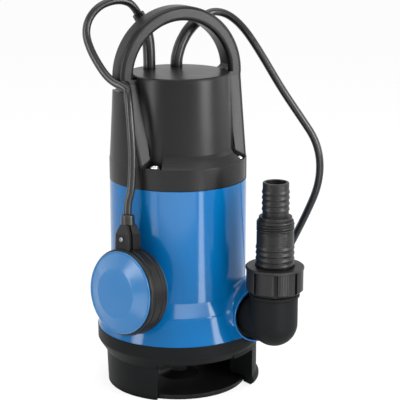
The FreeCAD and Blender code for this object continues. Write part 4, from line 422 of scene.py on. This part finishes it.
def build_cover_screws():
    # pan head with a cross recess on a pressed washer, and its shank
    bm = bmesh.new()
    washer = [
        (SHANK_R + 0.15, 0.03), (WASHER_R - 0.3, 0.03), (WASHER_R, 0.3), (WASHER_R - 0.05, 0.8),
        (WASHER_R - 0.4, WASHER_H - 0.1), (SHANK_R + 0.15, WASHER_H)]
    shank = [(0, -SHANK_L), (SHANK_R, -SHANK_L), (SHANK_R, WASHER_H - 0.05), (0, WASHER_H - 0.05)]
    head = [
        (0, WASHER_H - 0.04), (HEAD_R - 0.2, WASHER_H - 0.04), (HEAD_R, WASHER_H + 0.4), (HEAD_R - 0.05, 2.9)]
    for k in range(14, -1, -1):
        r = 0.27 * k
        head.append((r, HEAD_H - HEAD_CROWN * (r / 4.0) ** 2.4))
    for angle in (SCREW_ANGLE, 180 - SCREW_ANGLE, -SCREW_ANGLE, SCREW_ANGLE - 180):
        a = math.radians(angle)
        spot = Vector((SCREW_PCR * math.sin(a), -SCREW_PCR * math.cos(a), SCREW_SEAT_Z)) * MM
        place = Matrix.Translation(spot) @ Matrix.Rotation(a, 4, "Z")
        lathe(bm, washer, place, 48)
        lathe(bm, shank, place, 24)
        start = len(bm.verts)
        lathe(bm, head, place, 64)
        bm.verts.ensure_lookup_table()
        back = place.inverted()
        for vert in bm.verts[start:]:
            x, y, z = (back @ vert.co) / MM
            if z > 3.0:
                vert.co = place @ (Vector((x, y, z - CROSS_DEPTH * cross_depth(x, y))) * MM)
    piece = finish_piece(bm, "cover_screw_set", ZINC, "pump")
    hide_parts("cover_screws")


build_float_faces()
build_thread()
build_cover_screws()


# Cords: the routes repeat the part's own points, and the coil lies in its outline, millimetres

MAINS_ROUTE = [
    (40.0, 28.6, 342.9), (47.1, 28.4, 347.5), (56.3, 27.6, 348.8),
    (66.0, 24.4, 346.3), (74.2, 18.4, 339.4), (81.3, 9.6, 328.0),
    (90.7, -0.7, 308.0), (104.3, -15.8, 276.0), (119.6, -27.6, 248.4),
    (131.6, -34.5, 227.8), (136.8, -36.5, 204.9), (136.5, -33.0, 179.9),
    (131.5, -23.0, 154.1), (127.8, -6.0, 123.9), (122.7, 14.0, 89.2),
    (115.3, 38.0, 52.7), (80.0, 57.0, 21.0), (50.0, 76.0, 6.2),
    (27.0, 91.0, 5.1), (11.6, 112.0, 5.1), (6.6, 134.0, 5.1)]
FLOAT_LOOP_ROUTE = [
    (-25.6, 29.0, 350.6), (-30.5, 29.0, 359.2), (-40.4, 29.2, 364.2),
    (-52.4, 29.6, 364.2), (-65.5, 30.4, 359.6), (-75.8, 30.8, 348.6),
    (-79.8, 28.4, 335.0), (-78.2, 20.6, 321.0), (-75.0, 12.0, 309.6),
    (-71.2, 3.2, 299.6), (-66.2, -5.4, 293.6), (-62.1, -11.6, 292.0)]
FLOAT_DROP_ROUTE = [
    (-61.3, -21.4, 281.4), (-62.8, -27.2, 265.6),
    (-63.3, -30.7, 247.4), (-63.8, -32.8, 231.0), (-64.9, -34.0, 214.6),
    (-66.8, -35.4, 199.6), (-70.55, -35.32, 189.49), (-71.1, -36.53, 179.58)]
TAIL_ROUTE = [
    (24.0, 176.0, 50.0), (40.0, 196.0, 57.0),
    (64.0, 203.0, 62.0), (84.0, 197.7, 63.4), (93.6, 190.5, 63.4)]

COIL_X = 70.0
COIL_Y = 153.0
COIL_MEAN_R = 49.0
COIL_PITCH = 7.2
COIL_COLUMNS = 5
COIL_LAYERS = 6
COIL_LOW_Z = 1.5
POINTS_PER_TURN = 16


def cord_curve(name, route, mat, body="pump", round_start=False, round_end=False):
    # a rounded end closes on a half ball whose middle is the route's end point
    points = [(*point, 1.0) for point in route]
    if round_start:
        tip = end_tip(route[1], route[0])
        points = [(*tip, 0.0), (*tip, 1.0)] + points[1:]
    if round_end:
        tip = end_tip(route[-2], route[-1])
        points = points[:-1] + [(*tip, 1.0), (*tip, 0.0)]
    data = bpy.data.curves.new(name, "CURVE")
    data.dimensions = "3D"
    data.bevel_depth = CORD_D / 2
    data.bevel_resolution = 4
    data.resolution_u = 8
    data.use_fill_caps = True
    spline = data.splines.new("NURBS")
    spline.points.add(len(points) - 1)
    for point, (x, y, z, radius) in zip(spline.points, points):
        point.co = (x * MM, y * MM, z * MM, 1.0)
        point.radius = radius
    spline.order_u = 3
    spline.use_endpoint_u = True
    obj = bpy.data.objects.new(name, data)
    bpy.context.collection.objects.link(obj)
    data.materials.append(mat)
    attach(obj, body)
    return obj


def end_tip(before, last):
    step = (Vector(last) - Vector(before)).normalized() * CORD_D / 2 / MM
    return tuple(Vector(last) + step)


def coil_points():
    # turns side by side and layer on layer, clockwise from above, stepping over between turns
    points = []
    for layer in range(COIL_LAYERS):
        columns = range(COIL_COLUMNS)
        if layer % 2 == 0:
            columns = reversed(columns)
        z = COIL_LOW_Z + COIL_PITCH * (layer + 0.5)
        for column in columns:
            r = COIL_MEAN_R + COIL_PITCH * (column - (COIL_COLUMNS - 1) / 2)
            for step in range(POINTS_PER_TURN):
                a = math.pi - 2 * math.pi * step / POINTS_PER_TURN
                points.append((COIL_X + r * math.cos(a), COIL_Y + r * math.sin(a), z))
    return points


def build_cords():
    mains = cord_curve("mains_cord", MAINS_ROUTE + coil_points() + TAIL_ROUTE, RUBBER)
    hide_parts("mains_cable", "mains_coil", "mains_tail")
    loop = cord_curve("float_cord_loop", FLOAT_LOOP_ROUTE + [PIVOT], RUBBER, round_end=True)
    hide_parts("float_cable_loop")
    drop = cord_curve("float_cord_drop", [PIVOT] + FLOAT_DROP_ROUTE, RUBBER, "float", round_start=True)
    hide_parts("float_cable_drop")


build_cords()


# Floor and light

def seen_directly(tree):
    # 1 for what the camera, a reflection or a clear body looks at, 0 for light that falls on things
    path = tree.nodes.new("ShaderNodeLightPath")
    total = path.outputs["Is Camera Ray"]
    for kind in ("Is Glossy Ray", "Is Transmission Ray"):
        total = maths(tree, "MAXIMUM", total, path.outputs[kind])
    return total


def make_floor():
    # matt and pale, so that it keeps the shadow, with a glow of its own for whoever looks at it
    bpy.ops.mesh.primitive_plane_add(size=FLOOR_SIZE, location=(0, 0, -FLOOR_DROP))
    floor = bpy.context.object
    floor.name = "floor"
    mat, tree, shader = new_material("floor")
    shader.inputs["Base Color"].default_value = (FLOOR_SHADE, FLOOR_SHADE, FLOOR_SHADE, 1)
    shader.inputs["Roughness"].default_value = 0.9
    shader.inputs["Specular IOR Level"].default_value = 0.0
    glow = tree.nodes.new("ShaderNodeEmission")
    glow.inputs["Color"].default_value = (1, 1, 1, 1)
    mix = tree.nodes.new("ShaderNodeMixShader")
    tree.links.new(maths(tree, "MULTIPLY", seen_directly(tree), FLOOR_GLOW), mix.inputs["Fac"])
    tree.links.new(shader.outputs["BSDF"], mix.inputs[1])
    tree.links.new(glow.outputs["Emission"], mix.inputs[2])
    tree.links.new(mix.outputs["Shader"], tree.nodes["Material Output"].inputs["Surface"])
    floor.data.materials.append(mat)


def around(angle, distance, z):
    # a spot at an angle to the right of the camera, as seen from the pump's axis
    a = math.radians(angle)
    x = -AHEAD_X * math.cos(a) + AHEAD_Y * math.sin(a)
    y = -AHEAD_Y * math.cos(a) - AHEAD_X * math.sin(a)
    return (x * distance, y * distance, z)


def area_light(name, where, target, size, size_y, radiance):
    # the radiance stays when the size changes, and the camera doesn't see the lamp
    data = bpy.data.lights.new(name, "AREA")
    data.shape = "RECTANGLE"
    data.size = size
    data.size_y = size_y
    data.energy = radiance * size * size_y * math.pi
    obj = bpy.data.objects.new(name, data)
    bpy.context.collection.objects.link(obj)
    obj.location = where
    obj.rotation_mode = "QUATERNION"
    obj.rotation_quaternion = (Vector(target) - Vector(where)).to_track_quat("-Z", "Y")
    obj.visible_camera = False


def make_light():
    world = bpy.data.worlds.new("world")
    bpy.context.scene.world = world
    world.use_nodes = True
    tree = world.node_tree
    background = tree.nodes["Background"]
    background.inputs["Color"].default_value = (1, 1, 1, 1)
    strength = ramp(tree, seen_directly(tree), 0.0, 1.0, WORLD_LIGHT, 1.0)
    tree.links.new(strength, background.inputs["Strength"])
    sun = bpy.data.lights.new("sun", "SUN")
    sun.energy = SUN_STRENGTH
    sun.angle = math.radians(SUN_SPREAD)
    holder = bpy.data.objects.new("sun", sun)
    bpy.context.collection.objects.link(holder)
    holder.location = (0, 0, 2)
    # strips for the casing and boxes for the cover, then lamps for the base and the shoulder, and fills
    area_light("strip_left", around(-37, 0.45, 0.06), around(-37, 0.117, 1.0), 0.1, 0.36, 3.2)
    area_light("strip_right", around(37, 0.45, 0.06), around(37, 0.117, 1.0), 0.06, 0.36, 11.0)
    area_light("box_left", around(-56, 0.6, 0.39), (0, 0, 0.27), 0.17, 0.52, 11.0)
    area_light("box_right", around(60, 0.6, 0.39), (0, 0, 0.27), 0.24, 0.52, 14.0)
    area_light("low_front", around(0, 0.62, 0.045), (0, 0, 0.07), 0.72, 0.09, 3.0)
    area_light("high_front", around(28, 1.2, 0.61), (0, 0, 0.09), 1.6, 0.16, 7.0)
    area_light("fill_left", around(-105, 1.2, 0.5), (0, 0, 0.2), 0.9, 0.9, 1.3)
    area_light("fill_right", around(105, 1.2, 0.5), (0, 0, 0.2), 0.9, 0.9, 1.6)


make_floor()
make_light()
bpy.context.scene.view_settings.view_transform = "Standard"
